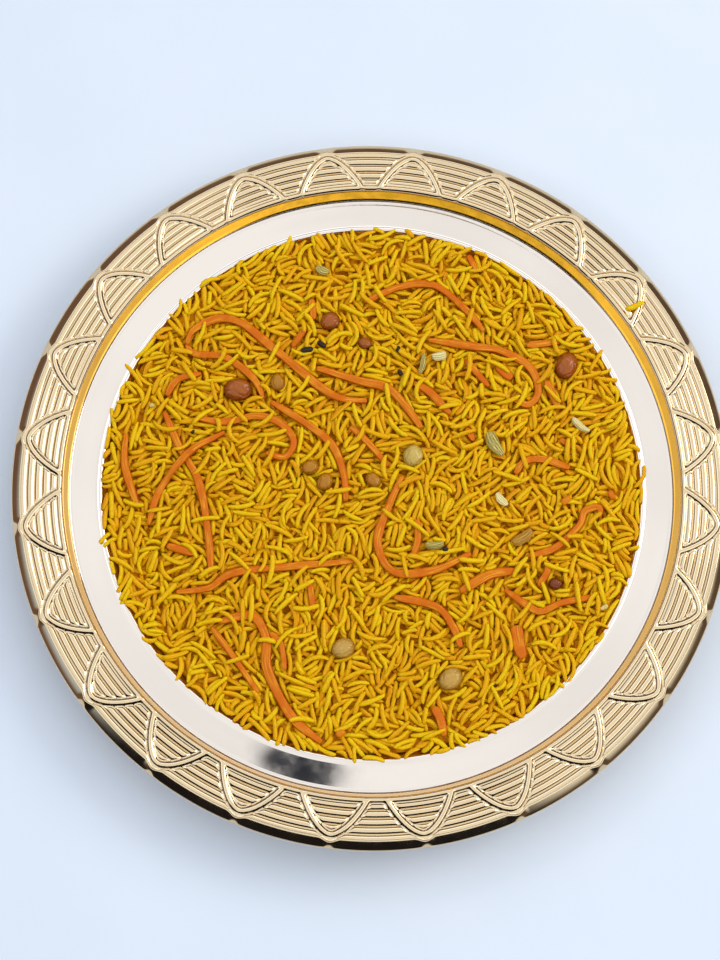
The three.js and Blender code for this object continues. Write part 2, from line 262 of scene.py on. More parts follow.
def uneven(tree: Tree, size: float, depth: float, detail: float = 2.0) -> Socket:
    """Tilts the surface as a fine uneven relief would.

    Args:
        tree: the material's nodes.
        size: the size of the relief's bumps, in mm.
        depth: how deep the relief is, in mm.
        detail: how many finer layers it has.

    Returns:
        The tilted normal's output.
    """
    place = add(tree, "TexCoord", output="Object")
    noise = add(tree, "TexNoise", {"Vector": place, "Scale": 1 / (size * MM), "Detail": detail})
    return add(tree, "Bump", {"Height": noise, "Distance": depth * MM, "Strength": 1.0})


def coats(tree: Tree, first: Colour, *layers: tuple[Socket | float, Colour]) -> Socket:
    """Lays colours over a first one, each by its share.

    Args:
        tree: the nodes.
        first: the lowest colour: a hex value, a linear colour or an output.
        layers: a share and a colour for each layer, from below.

    Returns:
        The mixed colour's output.
    """
    for share, colour in layers:
        below, above = (linear(one) if isinstance(one, str) else one for one in (first, colour))
        first = add(tree, "Mix", {0: share, 6: below, 7: above}, 2, data_type="RGBA")
    return first


# ---- Finishes ----

@dataclass(frozen=True)
class Finish:
    """A surface: the real material's name, with a shader that each kind of finish works out."""
    name: str

    def shader(self, tree: Tree) -> dict:
        """A value or an output for each of the shader's sockets."""
        raise NotImplementedError

    def material(self) -> bpy.types.Material:
        """Builds the material.

        Returns:
            The material, with one shader joined to its output.
        """
        made = bpy.data.materials.new(self.name)
        made.use_nodes = True
        made.node_tree.nodes.clear()
        surface = add(made.node_tree, "BsdfPrincipled", self.shader(made.node_tree))
        add(made.node_tree, "OutputMaterial", {"Surface": surface})
        return made


@dataclass(frozen=True)
class PlatedSteel(Finish):
    """Stainless steel sheet, pressed and polished: a mirror with a faint haze and a slight waviness.

    Gold-coloured plating tints the mirror. Bare steel is a nearly neutral one.
    """
    colour: str
    roughness: float
    wave: float
    wave_size: float = 26.0
    haze_size: float = 7.0

    def shader(self, tree: Tree) -> dict:
        """Tints the mirror, with patches of haze and soft waves.

        Args:
            tree: the material's nodes.

        Returns:
            A value or an output for each socket.
        """
        haze = patches(tree, self.haze_size, 0.3, 0.75)
        rough = add(tree, "MapRange", {"Value": haze, "To Min": self.roughness * 0.75,
                                       "To Max": self.roughness * 1.35})
        return {"Base Color": linear(self.colour), "Metallic": 1.0, "Roughness": rough,
                "Normal": uneven(tree, self.wave_size, self.wave, 1.0)}


@dataclass(frozen=True)
class BoiledRice(Finish):
    """Long-grain rice boiled with saffron and turned in butter: soft, half-clear grains with a low sheen.

    Grains differ at random in how much saffron they took up, and each is a little paler along its ridges.
    Grains that lie low in the heap are painted darker and more orange: painted shade between the grains.
    """
    name: str = "boiled_saffron_rice"
    pale: str = "F2C606"
    middle: str = "EEB004"
    # The deep colour also paints the shade on grains that lie low in the heap.
    deep: str = "E09603"

    def shader(self, tree: Tree) -> dict:
        """Colours each grain by its own tone, which also holds painted shade for low grains, with deeper spots
        and paler ridges.

        Args:
            tree: the material's nodes.

        Returns:
            A value or an output for each socket.
        """
        tone = add(tree, "Attribute", output="Fac", attribute_name="tone")
        ridge = add(tree, "Attribute", output="Fac", attribute_name="ridge")
        base = coats(tree, self.deep, (rise(tree, (tone, 0.0, 0.55)), self.middle),
                     (rise(tree, (tone, 0.5, 1.0)), self.pale),
                     (patches(tree, 1.6, 0.35, 0.8, top=0.35), self.deep),
                     (rise(tree, (ridge, 0.35, 1.0), top=0.55), self.pale))
        return {"Base Color": base, "Roughness": 0.46, "Specular IOR Level": 0.16, "Subsurface Weight": 0.45,
                "Subsurface Radius": (1.0, 0.7, 0.02), "Subsurface Scale": 2.2 * MM,
                "Normal": uneven(tree, 0.9, 0.05)}


@dataclass(frozen=True)
class RiceShade(Finish):
    """The grains below those that show, as one soft dark-gold ground: the dark gold is painted shade in the
    gaps between the grains.
    """
    name: str = "rice_core_painted_shade"
    light: str = "E89E08"
    dark: str = "C07204"

    def shader(self, tree: Tree) -> dict:
        """Clouds the dark gold with lighter patches as wide as a grain."""
        return {"Base Color": coats(tree, self.dark, (patches(tree, 3.0, 0.35, 0.65), self.light)),
                "Roughness": 0.55, "Specular IOR Level": 0.08, "Normal": uneven(tree, 2.4, 0.6)}


@dataclass(frozen=True)
class CookedCarrot(Finish):
    """Carrot cut into shreds and simmered: wet, slightly clear flesh with fibres that run lengthwise."""
    name: str = "cooked_carrot"
    flesh: str = "D66C04"
    pale: str = "F0A828"
    edge: str = "BA4E02"
    fibre: float = 0.5
    fibre_run: float = 12.0

    def shader(self, tree: Tree) -> dict:
        """Draws pale fibres, half a millimetre apart, that run for about 12 mm along the shred.

        The mesh carries the distance along and across the shred, in mm, and a number of its own as the tone.

        Args:
            tree: the material's nodes.

        Returns:
            A value or an output for each socket.
        """
        along, across, tone, side = (add(tree, "Attribute", output="Fac", attribute_name=name)
                                     for name in ("along", "across", "tone", "side"))
        lines = add(tree, "CombineXYZ", {
            "X": add(tree, "Math", {0: along, 1: 1 / self.fibre_run}, operation="MULTIPLY"),
            "Y": add(tree, "Math", {0: across, 1: 1 / self.fibre}, operation="MULTIPLY"), "Z": tone})
        fibres = add(tree, "TexNoise", {"Vector": lines, "Scale": 1.0, "Detail": 2.0})
        base = coats(tree, self.flesh, (rise(tree, (fibres, 0.4, 0.72)), self.pale),
                     (patches(tree, 7.0, 0.4, 0.65), self.flesh), (rise(tree, (side, 0.55, 1.0)), self.edge))
        return {"Base Color": base, "Roughness": 0.36, "Specular IOR Level": 0.14, "Subsurface Weight": 0.2,
                "Subsurface Radius": (1.0, 0.4, 0.05), "Subsurface Scale": 1.2 * MM,
                "Normal": add(tree, "Bump", {"Height": fibres, "Distance": 0.12 * MM, "Strength": 1.0})}


@dataclass(frozen=True)
class RaisinSkin(Finish):
    """A raisin that swelled in the steam: thin tight skin over half-clear flesh, wet, with fine wrinkles."""
    body: str
    pale: str
    deep: str
    clear: float = 0.45

    def shader(self, tree: Tree) -> dict:
        """Mottles the skin and paints it paler towards the top, as painted light from above.

        Args:
            tree: the material's nodes.

        Returns:
            A value or an output for each socket.
        """
        # Paler towards the top: painted light on the raisin's upper side.
        painted_top_light = add(tree, "Attribute", output="Fac", attribute_name="painted_top_light")
        base = coats(tree, self.deep, (patches(tree, 4.5, 0.35, 0.7), self.body),
                     (rise(tree, (painted_top_light, 0.45, 1.0)), self.pale))
        return {"Base Color": base, "Roughness": 0.34, "Specular IOR Level": 0.05,
                "Subsurface Weight": self.clear, "Subsurface Radius": (1.0, 0.5, 0.2),
                "Subsurface Scale": 2.5 * MM, "Coat Weight": 0.6, "Coat Roughness": 0.07,
                "Normal": uneven(tree, 2.0, 0.5)}


@dataclass(frozen=True)
class Husk(Finish):
    """The dry skin of a cardamom pod, softened in the pot: fibrous, with ribs that run lengthwise."""
    ridge: str
    # The hollow colour is painted shade in the grooves between the ribs.
    hollow: str

    def shader(self, tree: Tree) -> dict:
        """Makes the ribs pale and the hollows between them dark, which paints the shade in the grooves, and
        evens both out in patches.

        Args:
            tree: the material's nodes.

        Returns:
            A value or an output for each socket.
        """
        rib = add(tree, "Attribute", output="Fac", attribute_name="rib")
        between = coats(tree, self.hollow, (0.45, self.ridge))
        base = coats(tree, self.hollow, (rise(tree, (rib, 0.3, 0.75)), self.ridge),
                     (patches(tree, 2.8, 0.44, 0.6), between))
        return {"Base Color": base, "Roughness": 0.5, "Subsurface Weight": 0.1,
                "Subsurface Radius": (1.0, 0.8, 0.3), "Subsurface Scale": 1.2 * MM,
                "Normal": uneven(tree, 0.7, 0.1)}


@dataclass(frozen=True)
class SeedCoat(Finish):
    """A seed's hard dull skin, or a speck of burnt spice: nearly black, with brown specks."""
    name: str = "seed_coat"
    light: str = "3A2C16"
    dark: str = "140E08"
    speck: float = 0.8

    def shader(self, tree: Tree) -> dict:
        """Speckles the dark skin.

        Args:
            tree: the material's nodes.

        Returns:
            A value or an output for each socket.
        """
        place = add(tree, "TexCoord", output="Object")
        specks = add(tree, "TexNoise", {"Vector": place, "Scale": 1 / (self.speck * MM), "Detail": 2.0})
        return {"Base Color": coats(tree, self.dark, (specks, self.light)), "Roughness": 0.45,
                "Specular IOR Level": 0.25, "Normal": uneven(tree, 0.5, 0.1)}


@dataclass(frozen=True)
class TableTop(Finish):
    """A painted board under the platter: matt, pale and faintly clouded."""
    name: str = "pale_table"
    light: str = "E6EDF7"
    dark: str = "E3EBF5"

    def shader(self, tree: Tree) -> dict:
        """Clouds the paint with faint patches of 90 mm."""
        return {"Base Color": coats(tree, self.dark, (patches(tree, 90.0, 0.35, 0.7, 4.0), self.light)),
                "Roughness": 0.75, "Specular IOR Level": 0.2}


class Metal(Enum):
    """The finishes of the pressed sheet: the wall's gold is deeper in colour and less bright, as a painted
    reflection of the saffron rice that its mirror faces.
    """
    GOLD = PlatedSteel("gold_plated_steel", "E2C9A1", 0.09, 0.03)
    # The wall's deep yellow is a painted reflection of the rice over the plating's own gold.
    WALL = PlatedSteel("gold_wall_painted_rice_reflection", "E4AE16", 0.13, 0.06, 14.0, 5.0)
    STEEL = PlatedSteel("polished_steel", "E9DDD0", 0.055, 0.025)


class RaisinKind(Enum):
    """The raisins' colours. The pale one is painted light on each raisin's top."""
    BROWN = RaisinSkin("brown_raisin_skin", "924006", "A8580E", "642402", 0.3)
    AMBER = RaisinSkin("golden_raisin_skin", "A26002", "B87A06", "7C4000", 0.4)
    PALE = RaisinSkin("light_raisin_skin", "AE7E1E", "C89E48", "8A5A0A", 0.45)
    CLEAR = RaisinSkin("pale_raisin_skin", "B28E2C", "CEB058", "8C660E", 0.5)
    DARK = RaisinSkin("small_dark_raisin_skin", "5A2206", "843C08", "2E0E04", 0.15)


class HuskKind(Enum):
    """The colours of the pods and of their pieces."""
    GREEN = Husk("green_cardamom_husk", "D6C468", "7E6A12")
    PALE = Husk("pale_cardamom_husk", "F4E8B0", "CDB85C")
    OLIVE = Husk("olive_cardamom_husk", "D29820", "946606")


# ---- The platter ----

def round_axis(section: Array, columns: int) -> Array:
    """Carries points round the upright axis: radius r and height z go to (r cos a, r sin a, z) at angle a.

    Args:
        section: radius and height of each point.
        columns: steps round the axis.

    Returns:
        A row of places for each point of the section.
    """
    angle = np.arange(columns) * TURN / columns
    x, y = section[:, :1] * np.cos(angle), section[:, :1] * np.sin(angle)
    return np.stack([x, y, np.broadcast_to(section[:, 1:], x.shape)], -1)


def turned(name: str, section: Array, columns: int) -> bpy.types.Object:
    """Turns a half section whose first and last points lie on the axis into a closed piece.

    Args:
        name: the piece's name.
        section: radius and height of each point, out along the underside and back along the top.
        columns: steps round the axis.

    Returns:
        The closed piece.
    """
    body = round_axis(section[1:-1], columns)
    ends = np.array([[0, 0, section[0, 1]], [0, 0, section[-1, 1]]])
    return put_mesh(name, np.concatenate([body.reshape(-1, 3), ends]), closed_faces(len(body), columns))


def turned_ring(name: str, section: Array, columns: int) -> bpy.types.Object:
    """Turns a closed section, anticlockwise and clear of the axis, into a ring with so many columns."""
    points = round_axis(section, columns).reshape(-1, 3)
    return put_mesh(name, points, [grid_quads(len(section) + 1, columns, True) % len(points)])


def rounded(points: list[tuple[float, float]], radius: float, steps: int = 4) -> Array:
    """Rounds the inner corners of an open line by short curves that leave each corner's two sides.

    Each corner becomes a quadratic curve from a point before it to one after it, pulled by the corner.

    Args:
        points: the line's corners.
        radius: how far before and after a corner the curve starts and ends, in mm.
        steps: points on each curve less one.

    Returns:
        The rounded line.
    """
    line = np.array(points, float)
    out = [line[0]]
    share = np.linspace(0, 1, steps + 1)[:, None]
    for before, corner, after in zip(line[:-2], line[1:-1], line[2:]):
        reach_in = min(radius, np.linalg.norm(before - corner) * 0.45)
        reach_out = min(radius, np.linalg.norm(after - corner) * 0.45)
        start = corner + (before - corner) * reach_in / np.linalg.norm(before - corner)
        end = corner + (after - corner) * reach_out / np.linalg.norm(after - corner)
        out.extend((1 - share) ** 2 * start + 2 * share * (1 - share) * corner + share ** 2 * end)
    out.append(line[-1])
    return np.array(out)


@dataclass
class Platter:
    """The pressed sheet: dish, wall and rim."""
    rim_r: float = 170.0
    lip_z: float = 26.2
    shoulder_r: float = 165.2
    bevel_r: float = 146.9
    bevel: float = 1.15
    wall_foot_r: float = 144.1
    ledge_z: float = 22.0
    bead_r: float = 128.6
    corner_r: float = 121.2
    floor_r: float = 114.0
    sheet: float = 1.2
    arches: int = 24
    arch_phase: float = 8.1
    arch_half_angle: float = 5.9
    arch_foot_r: float = 147.0
    arch_top_r: float = 163.7
    arch_power: float = 1.62
    rib_half_width: float = 1.95
    rib_height: float = 1.35
    floor_of_relief: float = 31.55
    band_edge_r: float = 147.6
    band_flank: float = 1.5
    band_height: float = 1.05
    reed_first_r: float = 150.1
    reed_last_r: float = 164.5
    reed_pitch: float = 3.6
    reed_depth: float = 0.92
    reed_base: float = 0.12
    reed_gap: tuple[float, float] = (1.8, 2.5)
    reed_start: tuple[float, float] = (148.6, 149.6)
    notch_half_angle: float = 1.9
    notch_reach: float = 1.9
    columns_per_arch: int = 70
    # Radius and height of the rim's underside, outwards to the hem under the edge.
    hem: tuple[tuple[float, float], ...] = (
        (146.0, 30.4), (147.5, 30.5), (156, 30.5), (165.2, 30.5), (166.6, 30.2), (167.9, 29.0), (168.8, 27.4),
        (169.1, 26.1), (169.5, 25.95), (169.9, 26.05))
    # The lip as shares of the way out and of the way down, from the edge back up to the shoulder.
    lip_shares: tuple[tuple[float, float], ...] = (
        (1, 0.98), (1, 0.9), (1, 0.8), (1, 0.7), (1, 0.6), (0.999, 0.5), (0.99, 0.41), (0.96, 0.375),
        (0.86, 0.325), (0.72, 0.262), (0.56, 0.196), (0.4, 0.134), (0.25, 0.08), (0.12, 0.037), (0, 0))

    def arch_distance(self, radius: Array, turn: Array) -> Array:
        """Distance in the plan to the middle line of the nearest arch.

        The middle line has the radius foot + (top - foot) * (1 - |t| ** power), for t from -1 to 1 between
        its feet.

        Args:
            radius: each point's radius, in mm.
            turn: each point's angle from the arch's top, in degrees.

        Returns:
            The distance of each point, in mm.
        """
        t = np.linspace(-1, 1, 320)
        angle = np.radians(self.arch_half_angle * t)
        r = self.arch_foot_r + (self.arch_top_r - self.arch_foot_r) * (1 - np.abs(t) ** self.arch_power)
        line_x, line_y = r * np.cos(angle), r * np.sin(angle)
        x, y = radius * np.cos(np.radians(turn)), radius * np.sin(np.radians(turn))
        gaps = (x[..., None] - line_x) ** 2 + (y[..., None] - line_y) ** 2
        return np.sqrt(gaps.min(-1))

    def relief_height(self, radius: Array, turn: Array) -> Array:
        """Height of the rim's top: the highest, softly joined, of rib, band and reeds.

        A rib and a reed each have the height 1 - (share of the half width) ** 2. Reeds end beside ribs and
        band. The three are joined as the fifth root of the sum of their fifth powers.

        Args:
            radius: each point's radius, in mm.
            turn: each point's angle from the arch's top, in degrees.

        Returns:
            The height of each point, in mm.
        """
        away = self.arch_distance(radius, turn)
        rib = self.rib_height * np.clip(1 - (away / self.rib_half_width) ** 2, 0, 1)
        band = self.band_height * (1 - ease(self.band_edge_r, self.band_edge_r + self.band_flank, radius))
        phase = (np.minimum(radius, self.reed_last_r) - self.reed_first_r) / self.reed_pitch
        from_crest = np.abs(2 * (phase - np.round(phase)))
        reed = self.reed_base + self.reed_depth * (1 - from_crest ** 2)
        reed = reed * ease(*self.reed_gap, away) * ease(*self.reed_start, radius)
        joined = (rib ** 5 + band ** 5 + reed ** 5) ** 0.2
        drop = np.clip((self.bevel_r - radius) / self.bevel, 0, 1)
        return self.floor_of_relief + joined - self.bevel * drop ** 1.5

    def shoulder(self, turn: Array) -> Array:
        """Radius where the relief ends and the lip starts, which bulges outwards at each arch's top."""
        return self.shoulder_r + self.notch_reach * (1 - ease(0, self.notch_half_angle, np.abs(turn)))

    def ring(self, name: str, radius: Array, height: Array, smooth_rows: int) -> bpy.types.Object:
        """Repeats one arch's columns all round into a closed ring.

        Args:
            name: the piece's name.
            radius: radius of each row and column of one arch, with the first rows its smooth skin.
            height: height of the same points.
            smooth_rows: how many rows make the smooth skin. The rest closes the ring out of sight.

        Returns:
            The piece.
        """
        tops = self.arch_phase + np.arange(self.arches)[:, None] * 360 / self.arches
        angle = np.radians((tops + self.arch_columns()).ravel())
        quads = grid_quads(len(radius) + 1, len(angle), True) % (len(radius) * len(angle))
        radius, height = np.tile(radius, self.arches), np.tile(height, self.arches)
        points = np.stack([radius * np.cos(angle), radius * np.sin(angle), height], -1).reshape(-1, 3)
        skin = (smooth_rows - 1) * len(angle)
        return put_mesh(name, points, [quads[:skin], quads[skin:]], flat=(1,))

    def arch_columns(self) -> Array:
        """The columns' angles from an arch's top, in degrees."""
        return (np.arange(self.columns_per_arch) / self.columns_per_arch - 0.5) * 360 / self.arches

    def relief_rows(self, turn: Array) -> Array:
        """Radii of the relief's rows, inwards: rows lie close together at the feet of the reeds.

        Args:
            turn: the columns' angles from an arch's top, in degrees.

        Returns:
            A row of radii for each row, with a value for each column.
        """
        # Places between one hollow and the next, close together in the hollows, which are narrow.
        steps = np.array([0, 0.14, 0.5, 0.95, 1.4, 1.8, 2.2, 2.65, 3.1, 3.46])
        hollows = self.reed_first_r + self.reed_pitch * (np.arange(1, 5) - 0.5)
        inner = self.bevel_r - self.bevel
        rows = np.concatenate([inner + np.array([0, 0.15, 0.45, 0.8]), [self.bevel_r],
                               np.linspace(147.3, 149.5, 6), np.linspace(149.9, 151.8, 5),
                               (hollows[:3, None] + steps).ravel(),
                               hollows[3] + np.array([0, 0.15, 0.6, 1.1])])
        outer = np.linspace(0, 1, 5)[1:, None]
        last = rows[-1] + (self.shoulder(turn) - rows[-1]) * outer
        return np.concatenate([rows[:, None] * np.ones_like(turn), last])[::-1]

    def relief(self) -> bpy.types.Object:
        """The rim's top with its arches and reeds, as a thin skin that two rows close from below.

        Returns:
            The piece.
        """
        turn = self.arch_columns()
        radius = self.relief_rows(turn)
        height = self.relief_height(radius, np.broadcast_to(turn, radius.shape))
        under_r = np.stack([radius[-1] + 0.3, radius[0] - 0.3])
        under_z = np.stack([height[-1] - 0.5, height[0] - 0.6])
        return self.ring("rim_relief", np.concatenate([radius, under_r]), np.concatenate([height, under_z]),
                         len(radius))

    def lip(self) -> bpy.types.Object:
        """The turned-down edge and the rim's underside.

        The lip slopes down from the shoulder at 22 to 34 degrees, turns sharply down at the edge, and ends
        in a small round hem. Its rows are shares of the way out and of the way down.

        Returns:
            The piece.
        """
        turn = self.arch_columns()
        edge = self.shoulder(turn)
        top = self.relief_height(edge, turn)
        flat = np.ones((1, len(turn)))
        hem, shares = np.array(self.hem), np.array(self.lip_shares)[:, :, None]
        lip_r = edge + (self.rim_r - edge) * shares[:, 0]
        lip_z = top + (self.lip_z - top) * shares[:, 1]
        # Two rows under the relief close the section, from the shoulder back to the underside's start.
        inside_r = np.stack([edge - 0.8, hem[0, 0] * flat[0]])
        inside_z = np.stack([top - 0.9, (hem[0, 1] + 0.2) * flat[0]])
        radius = np.concatenate([hem[:, :1] * flat, lip_r, inside_r])
        height = np.concatenate([hem[:, 1:] * flat, lip_z, inside_z])
        return self.ring("rim_lip", radius, height, len(hem) + len(shares))

    def wall(self) -> bpy.types.Object:
        """The steep wall between ledge and rim: its section runs up out of sight and back down the face.

        Close rows at both ends of the face keep it straight where the smooth shading bends round the ends.

        Returns:
            The piece.
        """
        foot, top_r = self.wall_foot_r, self.bevel_r - self.bevel
        top_z = self.floor_of_relief + self.band_height - self.bevel
        face = np.linspace((top_r - 0.12, top_z - 0.8), (foot + 0.1, self.ledge_z + 0.6), 17)[[0, 1, -2, -1]]
        section = np.concatenate([
            [(foot + 0.05, self.ledge_z - 0.9), (foot + 1.2, self.ledge_z - 1.0), (top_r + 1.3, top_z - 1.0),
             (top_r + 0.5, top_z - 0.05), (top_r + 0.12, top_z + 0.02), (top_r, top_z - 0.12)],
            face, [(foot + 0.02, self.ledge_z + 0.2)]])
        return turned_ring("gold_wall", section, 480)

    def dish(self) -> bpy.types.Object:
        """The silver dish: underside, ledge with its raised bead, and the well.

        Returns:
            The piece.
        """
        ledge, under, outer_r = self.ledge_z, self.ledge_z - self.sheet, self.wall_foot_r + 1.15
        bottom = rounded([
            (0, 0), (self.floor_r + 0.6, 0), (self.floor_r + 5, self.sheet),
            (self.corner_r + self.sheet, 4.8), (self.bead_r, under), (self.wall_foot_r + 0.9, under)], 1.6)
        edge = np.array([(outer_r, under + 0.3), (outer_r, ledge + 0.5)])
        # A quarter round of 0.8 mm joins ledge and wall.
        fillet = np.linspace(0, np.pi / 2, 6)
        corner = np.stack([self.wall_foot_r - 0.7 + 0.8 * np.cos(fillet),
                           ledge + 0.8 - 0.8 * np.sin(fillet)], -1)
        bead = np.array([(142.0, 0), (136.5, 0.03), (132.0, 0), (131.2, 0.02), (130.7, 0.14), (130.2, 0.36),
                         (129.6, 0.44), (129.1, 0.3), (128.5, -0.15), (127.9, -1.0)]) + [0, ledge]
        well = rounded([(127.9, ledge - 1.0), (self.corner_r, 5.6), (self.floor_r + 4.2, 2.4),
                        (self.floor_r, self.sheet), (0, self.sheet)], 1.6)
        return turned("silver_dish", np.concatenate([bottom, edge, corner, bead, well[1:]]), 480)

    def build(self) -> None:
        """Builds the platter's pieces and dresses them."""
        gold = Metal.GOLD.value.material()
        dress(self.relief(), gold, "rim_gold", "platter")
        dress(self.lip(), gold, "rim_gold", "platter")
        dress(self.wall(), Metal.WALL.value.material(), "rim_gold", "platter")
        dress(self.dish(), Metal.STEEL.value.material(), "tray_silver", "platter")


# ---- The bed of rice ----

@dataclass
class Bed:
    """The shallow dome that the top grains keep to."""
    radius: float = 126.6
    edge_z: float = 22.1
    dome: float = 2.3
    core_drop: float = 4.0
    core_rise: float = 2.1

    def height(self, x: Array, y: Array) -> Array:
        """Height of the smooth bed: the edge's, plus the dome times 1 - (share of the radius) ** 2."""
        return self.edge_z + self.dome * (1 - (x * x + y * y) / self.radius ** 2)

    def core(self, x: Array, y: Array) -> Array:
        """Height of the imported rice: the bed's less the drop, with waves of 9 mm, and raised at the edge."""
        rim = self.core_rise * ease(112, 126, np.hypot(x, y))
        return self.height(x, y) - self.core_drop + rim + 0.45 * waves(x, y, 9, 3)


BED = Bed()


@dataclass
class Ground:
    """Heights on a square grid of the plan: the surface that falling grains come to rest on."""
    half: float = 134.0
    cell: float = 0.5
    ledge_z: float = 22.0
    bead_top: float = 22.35
    bead_r: float = 128.9
    bead_outer_r: float = 130.3
    headroom: float = 1.15
    top: Array = field(init=False)
    limit: Array = field(init=False)
    x: Array = field(init=False)
    y: Array = field(init=False)
    later: list = field(default_factory=list)

    def __post_init__(self) -> None:
        """Lays out the grid with the core, the bead and the ledge, and the height that grains may reach."""
        line = np.arange(-self.half, self.half, self.cell) + self.cell / 2
        self.x, self.y = np.meshgrid(line, line, indexing="ij")
        radius = np.hypot(self.x, self.y)
        bed = BED.height(self.x, self.y)
        # The bead falls inwards by 0.22 times the square of the distance from its crest.
        bead = self.bead_top - 0.22 * np.clip(self.bead_r - radius, 0, None) ** 2
        self.top = np.where(radius < BED.radius, BED.core(self.x, self.y),
                            np.where(radius < self.bead_outer_r, bead, self.ledge_z))
        self.limit = bed + self.headroom + 0.55 * waves(self.x, self.y, 17, 8) + 1.1 * ease(117, 124, radius)

    def cells(self, x: Array, y: Array) -> tuple[Array, Array]:
        """The grid cell that each place lies in, or the nearest one."""
        x, y = (np.clip(((one + self.half) / self.cell).astype(int), 0, len(self.top) - 1) for one in (x, y))
        return x, y

    def patch(self, x: float, y: float, reach: float) -> tuple[slice, slice]:
        """The part of the grid within a distance of a place, as two slices."""
        low, high = self.cells(np.array([x - reach, x + reach]), np.array([y - reach, y + reach]))
        return slice(low[0], low[1] + 1), slice(high[0], high[1] + 1)

    def roomy_spots(self) -> tuple[Array, Array, Array]:
        """Places where grains still fit: the chance goes with the square of the free height over a grain's.

        Returns:
            Places across and up the plan, and the running sum of their chances up to 1.
        """
        room = np.clip((self.limit - self.top)[::4, ::4] - 0.8, 0, 3)
        x, y = self.x[::4, ::4], self.y[::4, ::4]
        radius = np.hypot(x, y)
        chance = np.cumsum(np.where(radius < 128.4, room ** 2 * np.where(radius > 121, 4, 1), 0).ravel())
        return x.ravel(), y.ravel(), chance / chance[-1]

    def rest_piece(self, line: Array, half_width: float, under: Array, over: Array, margin: float) -> None:
        """Puts a long piece on the ground: grains stay below its underside, and later ones lie on its top.

        Args:
            line: points along its middle, in the plan.
            half_width: half its width, in mm.
            under: the height of its underside at each point.
            over: the height of its top at each point.
            margin: how much wider the room below it is, in mm.
        """
        for (x, y), low, high in zip(line, under, over):
            part = self.patch(x, y, half_width + margin)
            away = np.hypot(self.x[part] - x, self.y[part] - y)
            self.limit[part] = np.where(away < half_width + margin, np.minimum(self.limit[part], low),
                                        self.limit[part])
            self.later.append((part, away < half_width, high))

    def raise_pieces(self) -> None:
        """Makes the tops of the long pieces part of the ground, for the grains that lie on them."""
        for part, on, high in self.later:
            self.top[part] = np.where(on, np.maximum(self.top[part], high), self.top[part])


